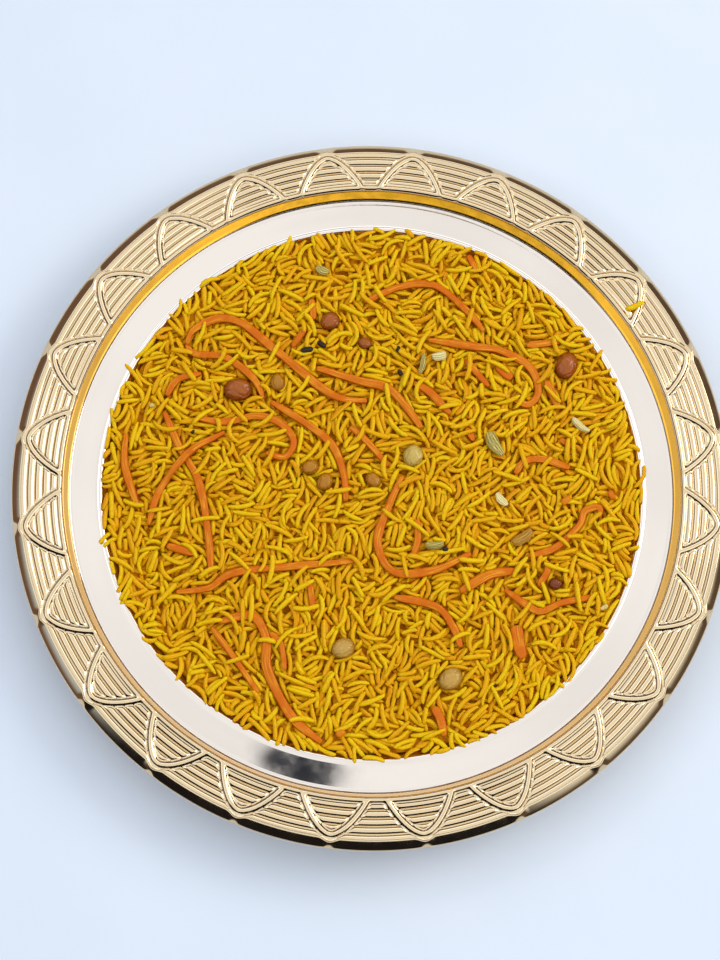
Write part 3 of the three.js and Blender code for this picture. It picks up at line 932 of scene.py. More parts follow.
@dataclass
class Grains:
    """Rice grains as they come to rest, one by one."""
    width: tuple[float, float] = (2.0, 2.5)
    length: tuple[float, float] = (10.5, 14.8)
    broken: float = 0.14
    flatness: float = 0.86
    stations: int = 11
    tries: int = 10
    slopes: tuple[float, ...] = (0, -0.06, 0.06, -0.13, 0.13, -0.21, 0.21, -0.3, 0.3, -0.4, 0.4)
    bend: float = 0.11
    # The mean of a bent grain's bow, which is taken off so that the grain keeps its middle.
    bow_mean: float = 0.33
    sag: tuple[float, float] = (-0.1, 0.8)
    blunt: int = 6
    press: float = 0.5
    refresh: int = 100
    placed: list = field(default_factory=list)

    def lay(self, ground: Ground, count: int, draw: np.random.Generator, aims: Array | None = None,
            reach: float = 129.2) -> int:
        """Drops grains and keeps those that come to rest below the limit.

        For each grain a few places and headings are drawn, more often where there is room. At each, the
        grain is let down at several slopes until it touches: its middle's height is the greatest of ground
        height plus its own half thickness, less the slope times the distance along, less a little because
        cooked grains press into each other. The lowest over the smooth bed is kept, and its top then becomes
        part of the ground.

        Args:
            ground: the surface, which is changed.
            count: grains to drop.
            draw: the random draw.
            aims: places with a heading, which a grain is to cross, or none for the whole bed.
            reach: the largest radius that an end may have, in mm.

        Returns:
            How many grains stayed.
        """
        share = np.linspace(-0.94, 0.94, self.stations)
        taper = np.sqrt(1 - np.abs(share) ** self.blunt)
        slopes = np.array(self.slopes)
        stayed, tries = 0, self.tries
        for number in range(count):
            length, width = draw.uniform(*self.length), draw.uniform(*self.width)
            if draw.random() < self.broken:
                length *= 0.62
            half, thick = length / 2, width * self.flatness / 2
            if aims is None:
                if number % self.refresh == 0:
                    spot_x, spot_y, chance = ground.roomy_spots()
                pick = np.minimum(np.searchsorted(chance, draw.random(tries)), len(chance) - 1)
                x0, y0 = spot_x[pick] + draw.uniform(-1, 1, tries), spot_y[pick] + draw.uniform(-1, 1, tries)
                lie = 1.9 * waves(x0, y0, 34, 11) + draw.normal(0, 0.42, tries)
                heading = np.where(draw.random(tries) < 0.3, draw.uniform(0, np.pi, tries), lie)
            else:
                near = aims[draw.integers(len(aims), size=tries)]
                x0, y0 = (near[:, :2] + draw.normal(0, 2.6, (tries, 2))).T
                heading = near[:, 2] + np.pi / 2 + draw.normal(0, 0.6, tries)
            bend = draw.normal(0, self.bend, tries) * length
            sag = draw.uniform(*self.sag)
            cos, sin = np.cos(heading)[:, None], np.sin(heading)[:, None]
            along = share * half
            off = bend[:, None] * (share ** 2 - self.bow_mean)
            x = x0[:, None] + cos * along - sin * off
            y = y0[:, None] + sin * along + cos * off
            need = np.full(x.shape, -1e9)
            for across, lift in ((0.0, 1.0), (0.36, 0.66), (-0.36, 0.66)):
                cell = ground.cells(x - sin * across * width, y + cos * across * width)
                need = np.maximum(need, ground.top[cell] + thick * lift * taper)
            rest = (need[:, None] - slopes[:, None] * along + sag * share ** 2).max(-1)
            best = np.argmin(rest + 0.6 * np.abs(slopes), axis=1)
            z0 = rest[np.arange(tries), best] - self.press
            slope = slopes[best]
            cell = ground.cells(x, y)
            top = z0[:, None] + slope[:, None] * along - sag * share ** 2 + thick * taper
            spare = (ground.limit[cell] - top).min(-1)
            far = np.hypot(x[:, [0, -1]], y[:, [0, -1]]).max(-1) - draw.exponential(0.7)
            level = z0 - BED.height(x0, y0)
            score = np.where((spare > 0) & (far < reach), level, 1e9)
            pick = int(np.argmin(score))
            if score[pick] > 1e8:
                continue
            one = (x0[pick], y0[pick], z0[pick], heading[pick], slope[pick], bend[pick], sag, length, width)
            self.placed.append(one)
            self.stamp(ground, one)
            stayed += 1
        return stayed

    def stamp(self, ground: Ground, one: tuple) -> None:
        """Makes a grain's top part of the ground.

        Args:
            ground: the surface.
            one: the grain's place, heading, slope, bend, sag, length and width.
        """
        x0, y0, z0, heading, slope, bend, sag, length, width = one
        half, thick = length / 2, width * self.flatness / 2
        part = ground.patch(x0, y0, half + 0.5)
        dx, dy = ground.x[part] - x0, ground.y[part] - y0
        along = dx * np.cos(heading) + dy * np.sin(heading)
        share = along / half
        side = dy * np.cos(heading) - dx * np.sin(heading) - bend * (share ** 2 - self.bow_mean)
        taper = np.sqrt(np.clip(1 - np.abs(share) ** self.blunt, 0, 1))
        cover = 1 - (side / (width / 2 * np.maximum(taper, 0.05))) ** 2
        inside = (np.abs(share) < 1) & (cover > 0)
        top = z0 + slope * along - sag * share ** 2 + thick * taper * np.sqrt(np.clip(cover, 0, 1))
        ground.top[part] = np.where(inside, np.maximum(ground.top[part], top), ground.top[part])

    def mesh(self, name: str, chosen: Array, draw: np.random.Generator) -> bpy.types.Object:
        """Joins grains into one mesh.

        Each grain is a bent rod: a point's place is the middle line's point at its share of the length, plus
        a six-sided ring whose size is the square root of one less a high power of the share. Every other
        corner of the ring stands out a little, as the three soft ridges of a boiled grain.

        Args:
            name: the piece's name.
            chosen: one row of values for each grain.
            draw: the random draw.

        Returns:
            The piece.
        """
        x0, y0, z0, heading, slope, bend, sag, length, width = (chosen[:, i][:, None, None] for i in range(9))
        share = np.array([-0.982, -0.92, -0.66, -0.25, 0.25, 0.66, 0.92, 0.982])[None, :, None]
        blunt = draw.uniform(5, 16, (len(chosen), 1, 1))
        sides, rings = 6, share.size
        ring = draw.uniform(0, TURN / sides, (len(chosen), 1, 1)) + np.arange(sides) * TURN / sides
        taper = np.sqrt(1 - np.abs(share) ** blunt) * (1 - 0.1 * share ** 2)
        ridge = np.array([1.0, 0.0] * (sides // 2))
        swell = (1 + 0.08 * np.sin(4 * share + 9 * blunt)) * (0.95 + 0.13 * ridge)
        out = width / 2 * taper * swell * np.cos(ring)
        up = width * self.flatness / 2 * taper * swell * np.sin(ring)
        half, cos, sin = length / 2, np.cos(heading), np.sin(heading)

        def place(at: Array, side: Array, lift: Array) -> Array:
            """Moves points from the middle line.

            Args:
                at: where along the grain, from -1 to 1.
                side: the step aside, in mm.
                lift: the step up, in mm.

            Returns:
                The points.
            """
            along = at * half - slope * lift
            off = bend * (at ** 2 - self.bow_mean) + side
            return np.stack(np.broadcast_arrays(
                x0 + cos * along - sin * off, y0 + sin * along + cos * off,
                z0 + slope * at * half - sag * at ** 2 + lift), -1)

        body = place(share, out, up).reshape(len(chosen), rings * sides, 3)
        nil = np.zeros((1, 1, 1))
        tips = np.concatenate([place(nil + end, nil, nil) for end in (-0.995, 0.995)], 1).reshape(-1, 2, 3)
        points = np.concatenate([body, tips], 1)
        size = rings * sides + 2
        start = (np.arange(len(chosen)) * size)[:, None, None]
        faces = [(start + one).reshape(-1, one.shape[1]) for one in closed_faces(rings, sides)]
        # Grains that lie lower than the bed's top get a darker, more orange tone: painted shade deep between
        # the grains.
        depth = np.clip((BED.height(chosen[:, 0], chosen[:, 1]) + 0.4 - chosen[:, 2]) / 2.5, 0, 1)
        # The single grain that lies up on the rim is given the palest tone.
        depth = np.where(chosen[:, 2] > 30, -1, depth)
        tone = np.repeat(np.clip(draw.normal(0.72, 0.23, len(chosen)) - 0.6 * depth, 0, 1), size)
        ridges = np.tile(np.concatenate([np.tile(ridge, rings), [0.5, 0.5]]), len(chosen))
        return put_mesh(name, points, faces, marks={"tone": tone, "ridge": ridges})


@dataclass
class RiceBed:
    """The rice: a core that fills the well, and the grains that lie on it."""
    seed: int = 41
    below: int = 16000
    filling: int = 9000
    on_top: int = 500
    crossing: int = 130
    room_on_top: float = 2.5
    room_across: float = 3.9
    core_columns: int = 240
    core_floor: float = 1.6
    triangles_a_grain: int = 96
    triangles_a_piece: int = 180000
    # The grain that fell on the rim: its place, height, heading, slope, bend, sag, length and width.
    stray: tuple[float, ...] = (126.6, 87.6, 33.0, 0.42, 0.06, 0.5, 0.0, 9.6, 2.9)

    def core(self) -> bpy.types.Object:
        """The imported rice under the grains, down to the well's floor.

        Returns:
            The piece.
        """
        radius = np.concatenate([np.linspace(126.2, 4.0, 84), [1.5]])
        top = round_axis(np.column_stack([radius, radius]), self.core_columns)
        top[..., 2] = BED.core(top[..., 0], top[..., 1])
        below = np.array([(113.6, self.core_floor), (120.4, 6.4), (125.2, 17.0)])
        rows = np.concatenate([round_axis(below, self.core_columns), top])
        ends = [[0, 0, self.core_floor], [0, 0, top[-1, :, 2].mean()]]
        return put_mesh("rice_core", np.concatenate([rows.reshape(-1, 3), ends]),
                        closed_faces(len(rows), self.core_columns))

    def build(self, ground: Ground, aims: Array) -> None:
        """Lays the grains and dresses them.

        Args:
            ground: the surface with the room that lying pieces leave.
            aims: places along the lying pieces, with their headings, which the last grains cross.
        """
        draw = np.random.default_rng(self.seed)
        # The core's dark gold paints the shade seen in the gaps between the grains.
        dress(self.core(), RiceShade().material(), "rice", "rice")
        grains = Grains()
        short = Grains(length=(5.8, 9.8), width=(1.9, 2.35), broken=0.0, placed=grains.placed)
        lower = grains.lay(ground, self.below, draw)
        lower += short.lay(ground, self.filling, draw)
        ground.raise_pieces()
        bed = BED.height(ground.x, ground.y)
        ground.limit = bed + self.room_on_top + 0.4 * waves(ground.x, ground.y, 17, 8)
        upper = grains.lay(ground, self.on_top, draw)
        ground.limit = bed + self.room_across
        over = grains.lay(ground, self.crossing, draw, aims)
        log.info("grains below: %d, on top: %d, across the lying pieces: %d", lower, upper, over)
        values = np.array([*grains.placed, self.stray])
        material = BoiledRice().material()
        count = int(np.ceil(len(values) * self.triangles_a_grain / self.triangles_a_piece))
        for i, part in enumerate(np.array_split(values, count)):
            dress(grains.mesh(f"rice_grains_{i + 1}", part, draw), material, "rice", "rice")


# ---- What lies on the rice ----

def smooth_line(points: list[tuple[float, float]], step: float) -> Array:
    """An even-spaced smooth line through points of the plan.

    Between two points the line is the cubic whose slope at each is half the way from the point before to the
    point after. It is then resampled at equal lengths.

    Args:
        points: the points, in mm.
        step: the spacing, in mm.

    Returns:
        The line's points.
    """
    p = np.array([points[0], *points, points[-1]], float)
    t = np.linspace(0, 1, 24, endpoint=False)[:, None]
    runs = []
    for a, b, c, d in zip(p[:-3], p[1:-2], p[2:-1], p[3:]):
        m, n = (c - a) / 2, (d - b) / 2
        runs.append((2 * b - 2 * c + m + n) * t ** 3 + (-3 * b + 3 * c - 2 * m - n) * t ** 2 + m * t + b)
    line = np.concatenate([*runs, p[-2:-1]])
    run = np.concatenate([[0], np.cumsum(np.linalg.norm(np.diff(line, axis=0), axis=1))])
    even = np.linspace(0, run[-1], max(3, int(round(run[-1] / step)) + 1))
    return np.stack([np.interp(even, run, line[:, 0]), np.interp(even, run, line[:, 1])], -1)


@dataclass
class Shred:
    """A strip of carrot, cut with flat sides, that lies on the grains and sags between them."""
    number: int
    width: float
    points: list[tuple[float, float]]
    over: tuple[float, float] | None = None
    node: bool = True
    thickness: float = 1.5
    lift: float = 0.15
    rise: float = 2.2
    reach: float = 16.0
    sides: int = 14

    def line(self) -> Array:
        """The middle line in the plan, a point for each millimetre."""
        return smooth_line(self.points, 1.0)

    def aims(self) -> Array:
        """Places on the middle line that grains may cross: more of them at the ends.

        Returns:
            Each place with the line's heading.
        """
        line = self.line()
        ahead = np.gradient(line, axis=0)
        marked = np.column_stack([line, np.arctan2(ahead[:, 1], ahead[:, 0])])
        ends = np.repeat(marked[[0, 1, 2, -3, -2, -1]], 2, axis=0)
        return np.concatenate([marked[::6], ends])

    def underside(self, line: Array) -> Array:
        """Height of the underside: the bed's, plus the rise over the shred that it crosses.

        Args:
            line: points of the plan.

        Returns:
            The height at each point.
        """
        low = BED.height(line[:, 0], line[:, 1]) + self.lift
        if self.over:
            away = np.hypot(line[:, 0] - self.over[0], line[:, 1] - self.over[1])
            low = low + self.rise * ease(0, 1, 2 * np.clip(1 - away / self.reach, 0, 1))
        return low

    def rest_on(self, ground: Ground) -> None:
        """Claims the shred's room on the ground.

        Args:
            ground: the surface, which is changed.
        """
        line = self.line()
        low = self.underside(line)
        ground.rest_piece(line, self.width / 2, low, low + self.thickness, 0.15)

    def build(self, material: bpy.types.Material) -> None:
        """Builds the strip and dresses it.

        A ring of points, a rounded oblong, is carried along the middle line, turned a little about it and
        made narrower to both ends. The oblong's corners are those of the curve |u| ** 5 + |v| ** 5 = 1.

        Args:
            material: the carrot's finish.
        """
        draw = np.random.default_rng(900 + self.number)
        line = self.line()
        count = len(line)
        ahead = np.gradient(line, axis=0)
        ahead /= np.linalg.norm(ahead, axis=1)[:, None]
        aside = np.stack([-ahead[:, 1], ahead[:, 0]], -1)
        run = np.arange(count, dtype=float)
        share = run / (count - 1)
        sway = draw.uniform(0, TURN, 4)
        from_middle = np.abs(2 * share - 1)
        wide = self.width / 2 * (1 - 0.45 * from_middle ** 5) * (1 + 0.09 * np.sin(run / 5 + sway[0]))
        thick = self.thickness / 2 * (1 - 0.35 * from_middle ** 6)
        roll = 0.2 * np.sin(run / 9 + sway[1]) + 0.12 * np.sin(run / 3.7 + sway[2])
        middle = self.underside(line) + self.thickness / 2 + 0.12 + 0.16 * np.sin(run / 4.1 + sway[3])
        ring = (np.arange(self.sides) + 0.5) * TURN / self.sides
        round_by = (np.abs(np.cos(ring)) ** 5 + np.abs(np.sin(ring)) ** 5) ** -0.2
        u, v = np.cos(ring) * round_by, np.sin(ring) * round_by
        out = wide[:, None] * u
        up = thick[:, None] * v * (1 + 0.08 * np.sin(run / 2.3)[:, None])
        turned_out = out * np.cos(roll)[:, None] - up * np.sin(roll)[:, None]
        turned_up = out * np.sin(roll)[:, None] * 0.6 + up * np.cos(roll)[:, None]
        x = line[:, :1] + aside[:, :1] * turned_out
        y = line[:, 1:] + aside[:, 1:] * turned_out
        z = middle[:, None] + turned_up
        body = np.stack([x, y, z], -1).reshape(-1, 3)
        last = [0, -1]
        ends = np.column_stack([line[last] + np.array([[-0.35], [0.35]]) * ahead[last], middle[last]])
        piece = put_mesh(f"shred_{self.number:02d}", np.concatenate([body, ends]),
                         closed_faces(count, self.sides), marks={
                             "along": np.concatenate([np.repeat(run, self.sides), [0, count]]),
                             "across": np.concatenate([out.ravel(), [0, 0]]),
                             "side": np.concatenate([np.tile(np.abs(u) ** 3, count), [1, 1]]),
                             "tone": np.full(len(body) + 2, float(self.number))})
        dress(piece, material, "carrot", *([f"carrot_{self.number:02d}"] if self.node else []))


SHRED_LINES = [
    (4.2, [(-90, 69), (-87, 76), (-75, 82), (-63, 79), (-46, 65), (-20, 44), (-3, 41)]),
    (3.6, [(-90, 68), (-86, 64), (-71, 62), (-58, 52), (-53, 42)]),
    (3.8, [(-49, 40), (-30, 28), (-19, 18), (-14, 4), (-13, -8)]),
    (4.2, [(-27, 57), (-7, 51), (9, 46), (23, 28)]),
    (3.6, [(-85, 32), (-71, 30), (-57, 33), (-45, 30), (-38, 21), (-42, 13), (-51, 15)]),
    (3.8, [(-100, 35), (-92, 17), (-83, 1), (-78, -23), (-76, -43)]),
    (3.4, [(-71, 25), (-87, 15), (-101, -3), (-106, -20)], (-89, 12)),
    (3.6, [(-118, 24), (-118, 8), (-111, -12)]),
    (3.2, [(-83, 54), (-94, 51), (-99, 43)]),
    (3.4, [(-30, 92), (-29, 82)]),
    (3.2, [(-33, 77), (-39, 68)]),
    (3.2, [(-11, 28), (-4, 22), (7, 9)]),
    (3.6, [(-4, 91), (13, 99), (30, 100), (45, 88), (54, 77)]),
    (4.0, [(27, 72), (49, 69), (62, 67), (76, 59), (80, 47), (75, 40), (68, 43)]),
    (3.2, [(45, 62), (50, 56), (56, 49)]),
    (4.8, [(60, 60), (67, 53)]),
    (3.6, [(75, 70), (91, 72)]),
    (4.0, [(84, 52), (90, 38)]),
    (3.8, [(20, 50), (28, 45), (37, 35)]),
    (3.8, [(68, 6), (73, 12), (82, 13), (94, 9)]),
    (4.0, [(14, 4), (8, -9), (2, -28), (10, -42), (29, -41), (46, -33)]),
    (3.6, [(21, -17), (21, -27), (19, -34)]),
    (3.8, [(10, -54), (29, -58), (37, -67), (41, -77)]),
    (4.6, [(41, -51), (55, -43), (68, -41)]),
    (3.4, [(73, -34), (86, -30), (98, -19), (101, -12), (108, -10), (108, -15)]),
    (3.6, [(83, -37), (82, -42), (78, -48)]),
    (3.4, [(62, -50), (72, -57), (79, -60), (89, -56), (104, -53)]),
    (6.5, [(67, -67), (68, -75), (70, -82)]),
    (4.2, [(28, -105), (31, -110), (33, -118)]),
    (3.6, [(-92, -52), (-77, -50), (-66, -43), (-41, -40), (-9, -37)]),
    (3.2, [(-30, -46), (-28, -61)]),
    (4.6, [(-72, -66), (-57, -63), (-50, -73), (-49, -88), (-38, -109), (-24, -121)]),
    (3.0, [(-75, -69), (-65, -82), (-53, -99)]),
    (3.0, [(-48, -71), (-43, -76), (-41, -88)]),
    (3.6, [(-97, -30), (-84, -34)]),
]
"""Each shred's width and the points of its middle line, and where it crosses another one."""

STUB_LINES = [
    (3.0, [(47, 116), (51, 108)]),
    (3.0, [(45, 28), (48, 22)]),
    (3.0, [(90, 23), (97, 19)]),
]
"""Short ends of shreds that stick out of the rice."""


@dataclass
class Topping:
    """A small rounded piece on the rice: its place, its length, width and height, and its turn in degrees."""
    place: tuple[float, float]
    size: tuple[float, float, float]
    turn: float

    def bed_z(self) -> float:
        """Height of the smooth bed at its place."""
        return float(BED.height(*self.place))

    def heading(self) -> tuple[float, float]:
        """Cosine and sine of its turn."""
        return np.cos(np.radians(self.turn)), np.sin(np.radians(self.turn))

    def laid(self, x: Array, y: Array, z: Array, tips: list[tuple[float, float]], middle: float) -> Array:
        """Turns a skin's points and its two tips about the upright axis, and moves them to their place.

        A point goes to (x cos - y sin, x sin + y cos, z) from the middle.

        Args:
            x: places along the piece.
            y: places across it.
            z: places up, from its middle.
            tips: where along and across the two end points lie, at the middle's height.
            middle: the middle's height.

        Returns:
            The skin's points, and then the tips.
        """
        ends = np.column_stack([tips, np.zeros(2)]).T
        x, y, z = (np.concatenate([one.ravel(), end]) for one, end in zip(np.broadcast_arrays(x, y, z), ends))
        (px, py), (cos, sin) = self.place, self.heading()
        return np.stack([px + x * cos - y * sin, py + x * sin + y * cos, middle + z], -1)


@dataclass
class Raisin(Topping):
    """A swollen raisin, half sunk in the rice."""
    kind: RaisinKind
    number: int
    lift: float = 0.2
    wrinkle: float = 0.12
    fine_wrinkle: float = 0.05
    dent: float = 0.06
    swelling: float = 0.03
    rows: int = 44
    columns: int = 60

    def middle(self) -> float:
        """Height of its middle."""
        return self.bed_z() + self.lift * self.size[2]

    def rest_on(self, ground: Ground) -> None:
        """Claims the raisin's room on the ground, as a ball pressed to its length, width and height.

        Args:
            ground: the surface, which is changed.
        """
        (x, y), (length, width, height) = self.place, self.size
        part = ground.patch(x, y, length)
        dx, dy = ground.x[part] - x, ground.y[part] - y
        cos, sin = self.heading()
        share = ((dx * cos + dy * sin) / (length / 2)) ** 2 + ((dy * cos - dx * sin) / (width / 2)) ** 2
        cap = height / 2 * np.sqrt(np.clip(1 - share, 0, 1))
        low = np.where(share < 1.05, self.middle() - cap, ground.limit[part])
        ground.limit[part] = np.minimum(ground.limit[part], low)
        ground.later.append((part, share < 1, self.middle() + cap))

    def build(self, material: bpy.types.Material) -> None:
        """Builds the raisin and dresses it.

        A ball with its poles at the ends of its long axis. Its radius is one less the wrinkles: narrow
        creases that run lengthwise and wander, finer ones between them, and a few soft dents.

        Args:
            material: the skin's finish.
        """
        a, b, c, d, e = np.random.default_rng(300 + self.number).uniform(0, TURN, 5)
        latitude = np.linspace(0.03, np.pi - 0.03, self.rows)[:, None]
        angle = (np.arange(self.columns) * TURN / self.columns)[None, :]
        wander = 1.1 * np.sin(2.2 * latitude + a) + 0.6 * np.sin(5.1 * latitude + 2 * angle + b)
        crease = 1 - np.abs(np.sin(3.5 * angle + wander + c))
        fine = 1 - np.abs(np.sin(9 * angle + 2.2 * wander + d + 2.0 * np.sin(3 * latitude)))
        dent = np.sin(2 * angle + a) * np.sin(1.7 * latitude + e)
        worn = self.wrinkle * crease ** 3 + self.fine_wrinkle * fine ** 2 + self.dent * dent
        radius = 1 - np.sin(latitude) ** 0.5 * worn + self.swelling
        length, width, height = (s / 2 for s in self.size)
        x = length * np.cos(latitude) * radius
        y = width * np.sin(latitude) * np.cos(angle) * radius
        z = height * np.sin(latitude) * np.sin(angle) * radius
        points = self.laid(x, y, z, [(length, 0), (-length, 0)], self.middle())
        # A mark that rises to the top of the raisin, for the painted light there.
        painted_top_light = np.concatenate([(z / height).ravel() * 0.5 + 0.5, [0.5, 0.5]])
        faces = closed_faces(self.rows, self.columns, True)
        piece = put_mesh(f"raisin_piece_{self.number:02d}", points, faces, marks={"painted_top_light": painted_top_light})
        slots = {RaisinKind.BROWN: "raisin_brown", RaisinKind.DARK: "raisin_dark"}
        dress(piece, material, slots.get(self.kind, "raisin_amber"), f"raisin_{self.number:02d}")


@dataclass
class Bit(Topping):
    """A small loose piece: a seed, a speck, a scrap of carrot or a crumb of husk."""
    slot: str
    name: str
    lift: float = 0.9
    rows: int = 14
    columns: int = 18

    def build(self, material: bpy.types.Material) -> None:
        """Builds the bit and dresses it.

        A blunt ball that is a little uneven: its radius is one plus slow waves, and both ends are cut short.

        Args:
            material: its finish.
        """
        draw = np.random.default_rng(int(abs(self.place[0] * 7 + self.place[1] * 13)))
        a, b, c = draw.uniform(0, TURN, 3)
        polar = np.linspace(0.12, np.pi - 0.12, self.rows)[:, None]
        angle = (np.arange(self.columns) * TURN / self.columns)[None, :]
        radius = 1 + 0.09 * np.sin(2 * angle + a) * np.sin(3 * polar + b) + 0.05 * np.sin(3 * angle + c)
        length, width, height = (v / 2 for v in self.size)
        girth = np.sin(polar) ** 0.7
        x = length * np.sign(np.cos(polar)) * np.abs(np.cos(polar)) ** 0.8
        y = width * girth * np.cos(angle) * radius
        z = height * girth * np.sin(angle) * radius
        points = self.laid(x, y, z, [(length, 0), (-length, 0)], self.bed_z() + self.lift + height)
        nil = np.zeros(len(points))
        piece = put_mesh(self.name, points, closed_faces(self.rows, self.columns, True),
                         marks={"tone": nil + 0.9, "along": nil, "across": nil})
        dress(piece, material, self.slot)


@dataclass
class Pod(Topping):
    """A cardamom pod or a piece of its husk, lying on the grains."""
    kind: HuskKind
    number: int
    ribs: int = 5
    rib_height: float = 0.16
    lobe_height: float = 0.16
    bend: float = 0.08
    lift: float = 0.15
    rows: int = 30
    columns: int = 40

    def middle(self) -> float:
        """Height of its middle."""
        return self.bed_z() + self.lift + self.size[2] / 2

    def rest_on(self, ground: Ground) -> None:
        """Claims the pod's room on the ground, along the middle eight tenths of it.

        Args:
            ground: the surface, which is changed.
        """
        length, width, height = self.size
        line = np.array(self.place) + np.linspace(-0.4, 0.4, 9)[:, None] * length * np.array(self.heading())
        low = np.full(len(line), self.middle() - height / 2)
        ground.rest_piece(line, width * 0.42, low, low + height * 0.9, 0.1)

    def build(self, material: bpy.types.Material) -> None:
        """Builds the pod and dresses it.

        A blunt spindle: the radius is the sine of the share of the length to the power 0.3, times one
        plus three lobes and fine ribs round it, and it is pressed flat and slightly bent.

        Args:
            material: the husk's finish.
        """
        a, b = np.random.default_rng(500 + self.number).uniform(0, TURN, 2)
        length, width, height = self.size
        share = np.linspace(0.02, 0.98, self.rows)[:, None]
        angle = (np.arange(self.columns) * TURN / self.columns)[None, :]
        girth = np.sin(np.pi * share) ** 0.3 * (1 + 0.1 * np.sin(5 * share + a))
        rib = 0.5 + 0.5 * np.cos(2 * self.ribs * angle + 1.2 * np.sin(4 * share + b))
        lobe = np.cos(3 * angle + a)
        dent = 0.06 * np.sin(7 * share + angle + b)
        radius = girth * (1 + self.lobe_height * lobe + self.rib_height * rib - dent)
        radius = radius / radius.max()
        y = self.bend * length * (4 * (share - 0.5) ** 2 - 0.4) + width / 2 * radius * np.cos(angle)
        z = height / 2 * radius * np.sin(angle)
        tips = [(end * length, self.bend * length * 0.6) for end in (-0.5, 0.5)]
        points = self.laid((share - 0.5) * length, y, z, tips, self.middle())
        piece = put_mesh(f"pod_piece_{self.number:02d}", points, closed_faces(self.rows, self.columns),
                         marks={"rib": np.concatenate([rib.ravel(), [0.5, 0.5]])})
        slot = "pod_green" if self.kind is HuskKind.GREEN else "husk_pale"
        dress(piece, material, slot, f"pod_{self.number:02d}")


RAISINS = [
    ((-65, 46), (13.0, 11.0, 6.4), 0, RaisinKind.BROWN), ((-21, 81), (9.6, 8.8, 5.4), 30, RaisinKind.BROWN),
    ((94, 60), (13.6, 10.8, 6.4), 70, RaisinKind.BROWN), ((19, 14), (10.6, 9.6, 5.6), 60, RaisinKind.CLEAR),
    ((-30, 8), (8.2, 7.0, 4.6), 20, RaisinKind.AMBER), ((-23, 1), (8.8, 7.4, 4.6), 75, RaisinKind.AMBER),
    ((-14, -78), (10.8, 9.4, 5.6), 20, RaisinKind.PALE), ((36, -92), (11.6, 10.0, 5.4), 40, RaisinKind.PALE),
    ((86, -47), (6.4, 5.4, 4.4), 10, RaisinKind.DARK), ((0, 2), (8.0, 6.6, 4.2), 130, RaisinKind.AMBER),
    ((-46, 50), (8.6, 6.8, 4.2), 100, RaisinKind.AMBER), ((-4, 70), (6.4, 5.4, 3.8), 0, RaisinKind.BROWN),
]
"""Each raisin's place, size, turn in degrees and kind."""

PODS = [
    ((58, 20), (13.4, 7.0, 3.8), -60, HuskKind.GREEN), ((100, 30), (10.6, 4.0, 2.6), -39, HuskKind.PALE),
    ((32, 64), (7.2, 5.0, 3.0), 15, HuskKind.PALE), ((24, 60), (10.6, 3.4, 2.4), 80, HuskKind.GREEN),
    ((61, -7), (8.0, 4.6, 2.8), -50, HuskKind.PALE), ((29, -29), (9.0, 4.2, 2.6), 5, HuskKind.GREEN),
    ((71, -25), (11.4, 5.8, 2.2), 35, HuskKind.OLIVE), ((-25, 107), (7.0, 5.0, 2.6), -20, HuskKind.GREEN),
]
"""Each pod's or husk piece's place, size, turn in degrees and kind."""

BITS = [
    ("black_seed_1", (-32, 66), (6.0, 3.0, 2.0), 12, "raisin_dark"),
    ("black_seed_2", (-25, 69), (4.8, 2.6, 1.8), -35, "raisin_dark"),
    ("black_seed_3", (12, 67), (3.0, 2.2, 1.8), 70, "raisin_dark"),
    ("black_seed_4", (13, 55), (3.4, 2.4, 1.8), 120, "raisin_dark"),
    ("dark_speck_1", (-86, 25), (2.6, 2.0, 1.4), 30, "raisin_dark"),
    ("dark_speck_2", (34, -31), (3.0, 2.2, 1.6), 0, "raisin_dark"),
    ("carrot_scrap_1", (92, -7), (5.0, 3.4, 1.8), 40, "carrot"),
    ("carrot_scrap_2", (114, -4), (4.6, 3.0, 1.8), -60, "carrot"),
    ("carrot_scrap_3", (-15, -117), (4.4, 3.2, 1.8), 20, "carrot"),
    ("husk_crumb_1", (-106, 38), (2.6, 2.0, 1.4), 0, "husk_pale"),
    ("husk_crumb_2", (109, -58), (4.0, 2.2, 1.4), 30, "husk_pale"),
]
"""Each small piece's name, place, size, turn in degrees and slot."""


# ---- The setting ----

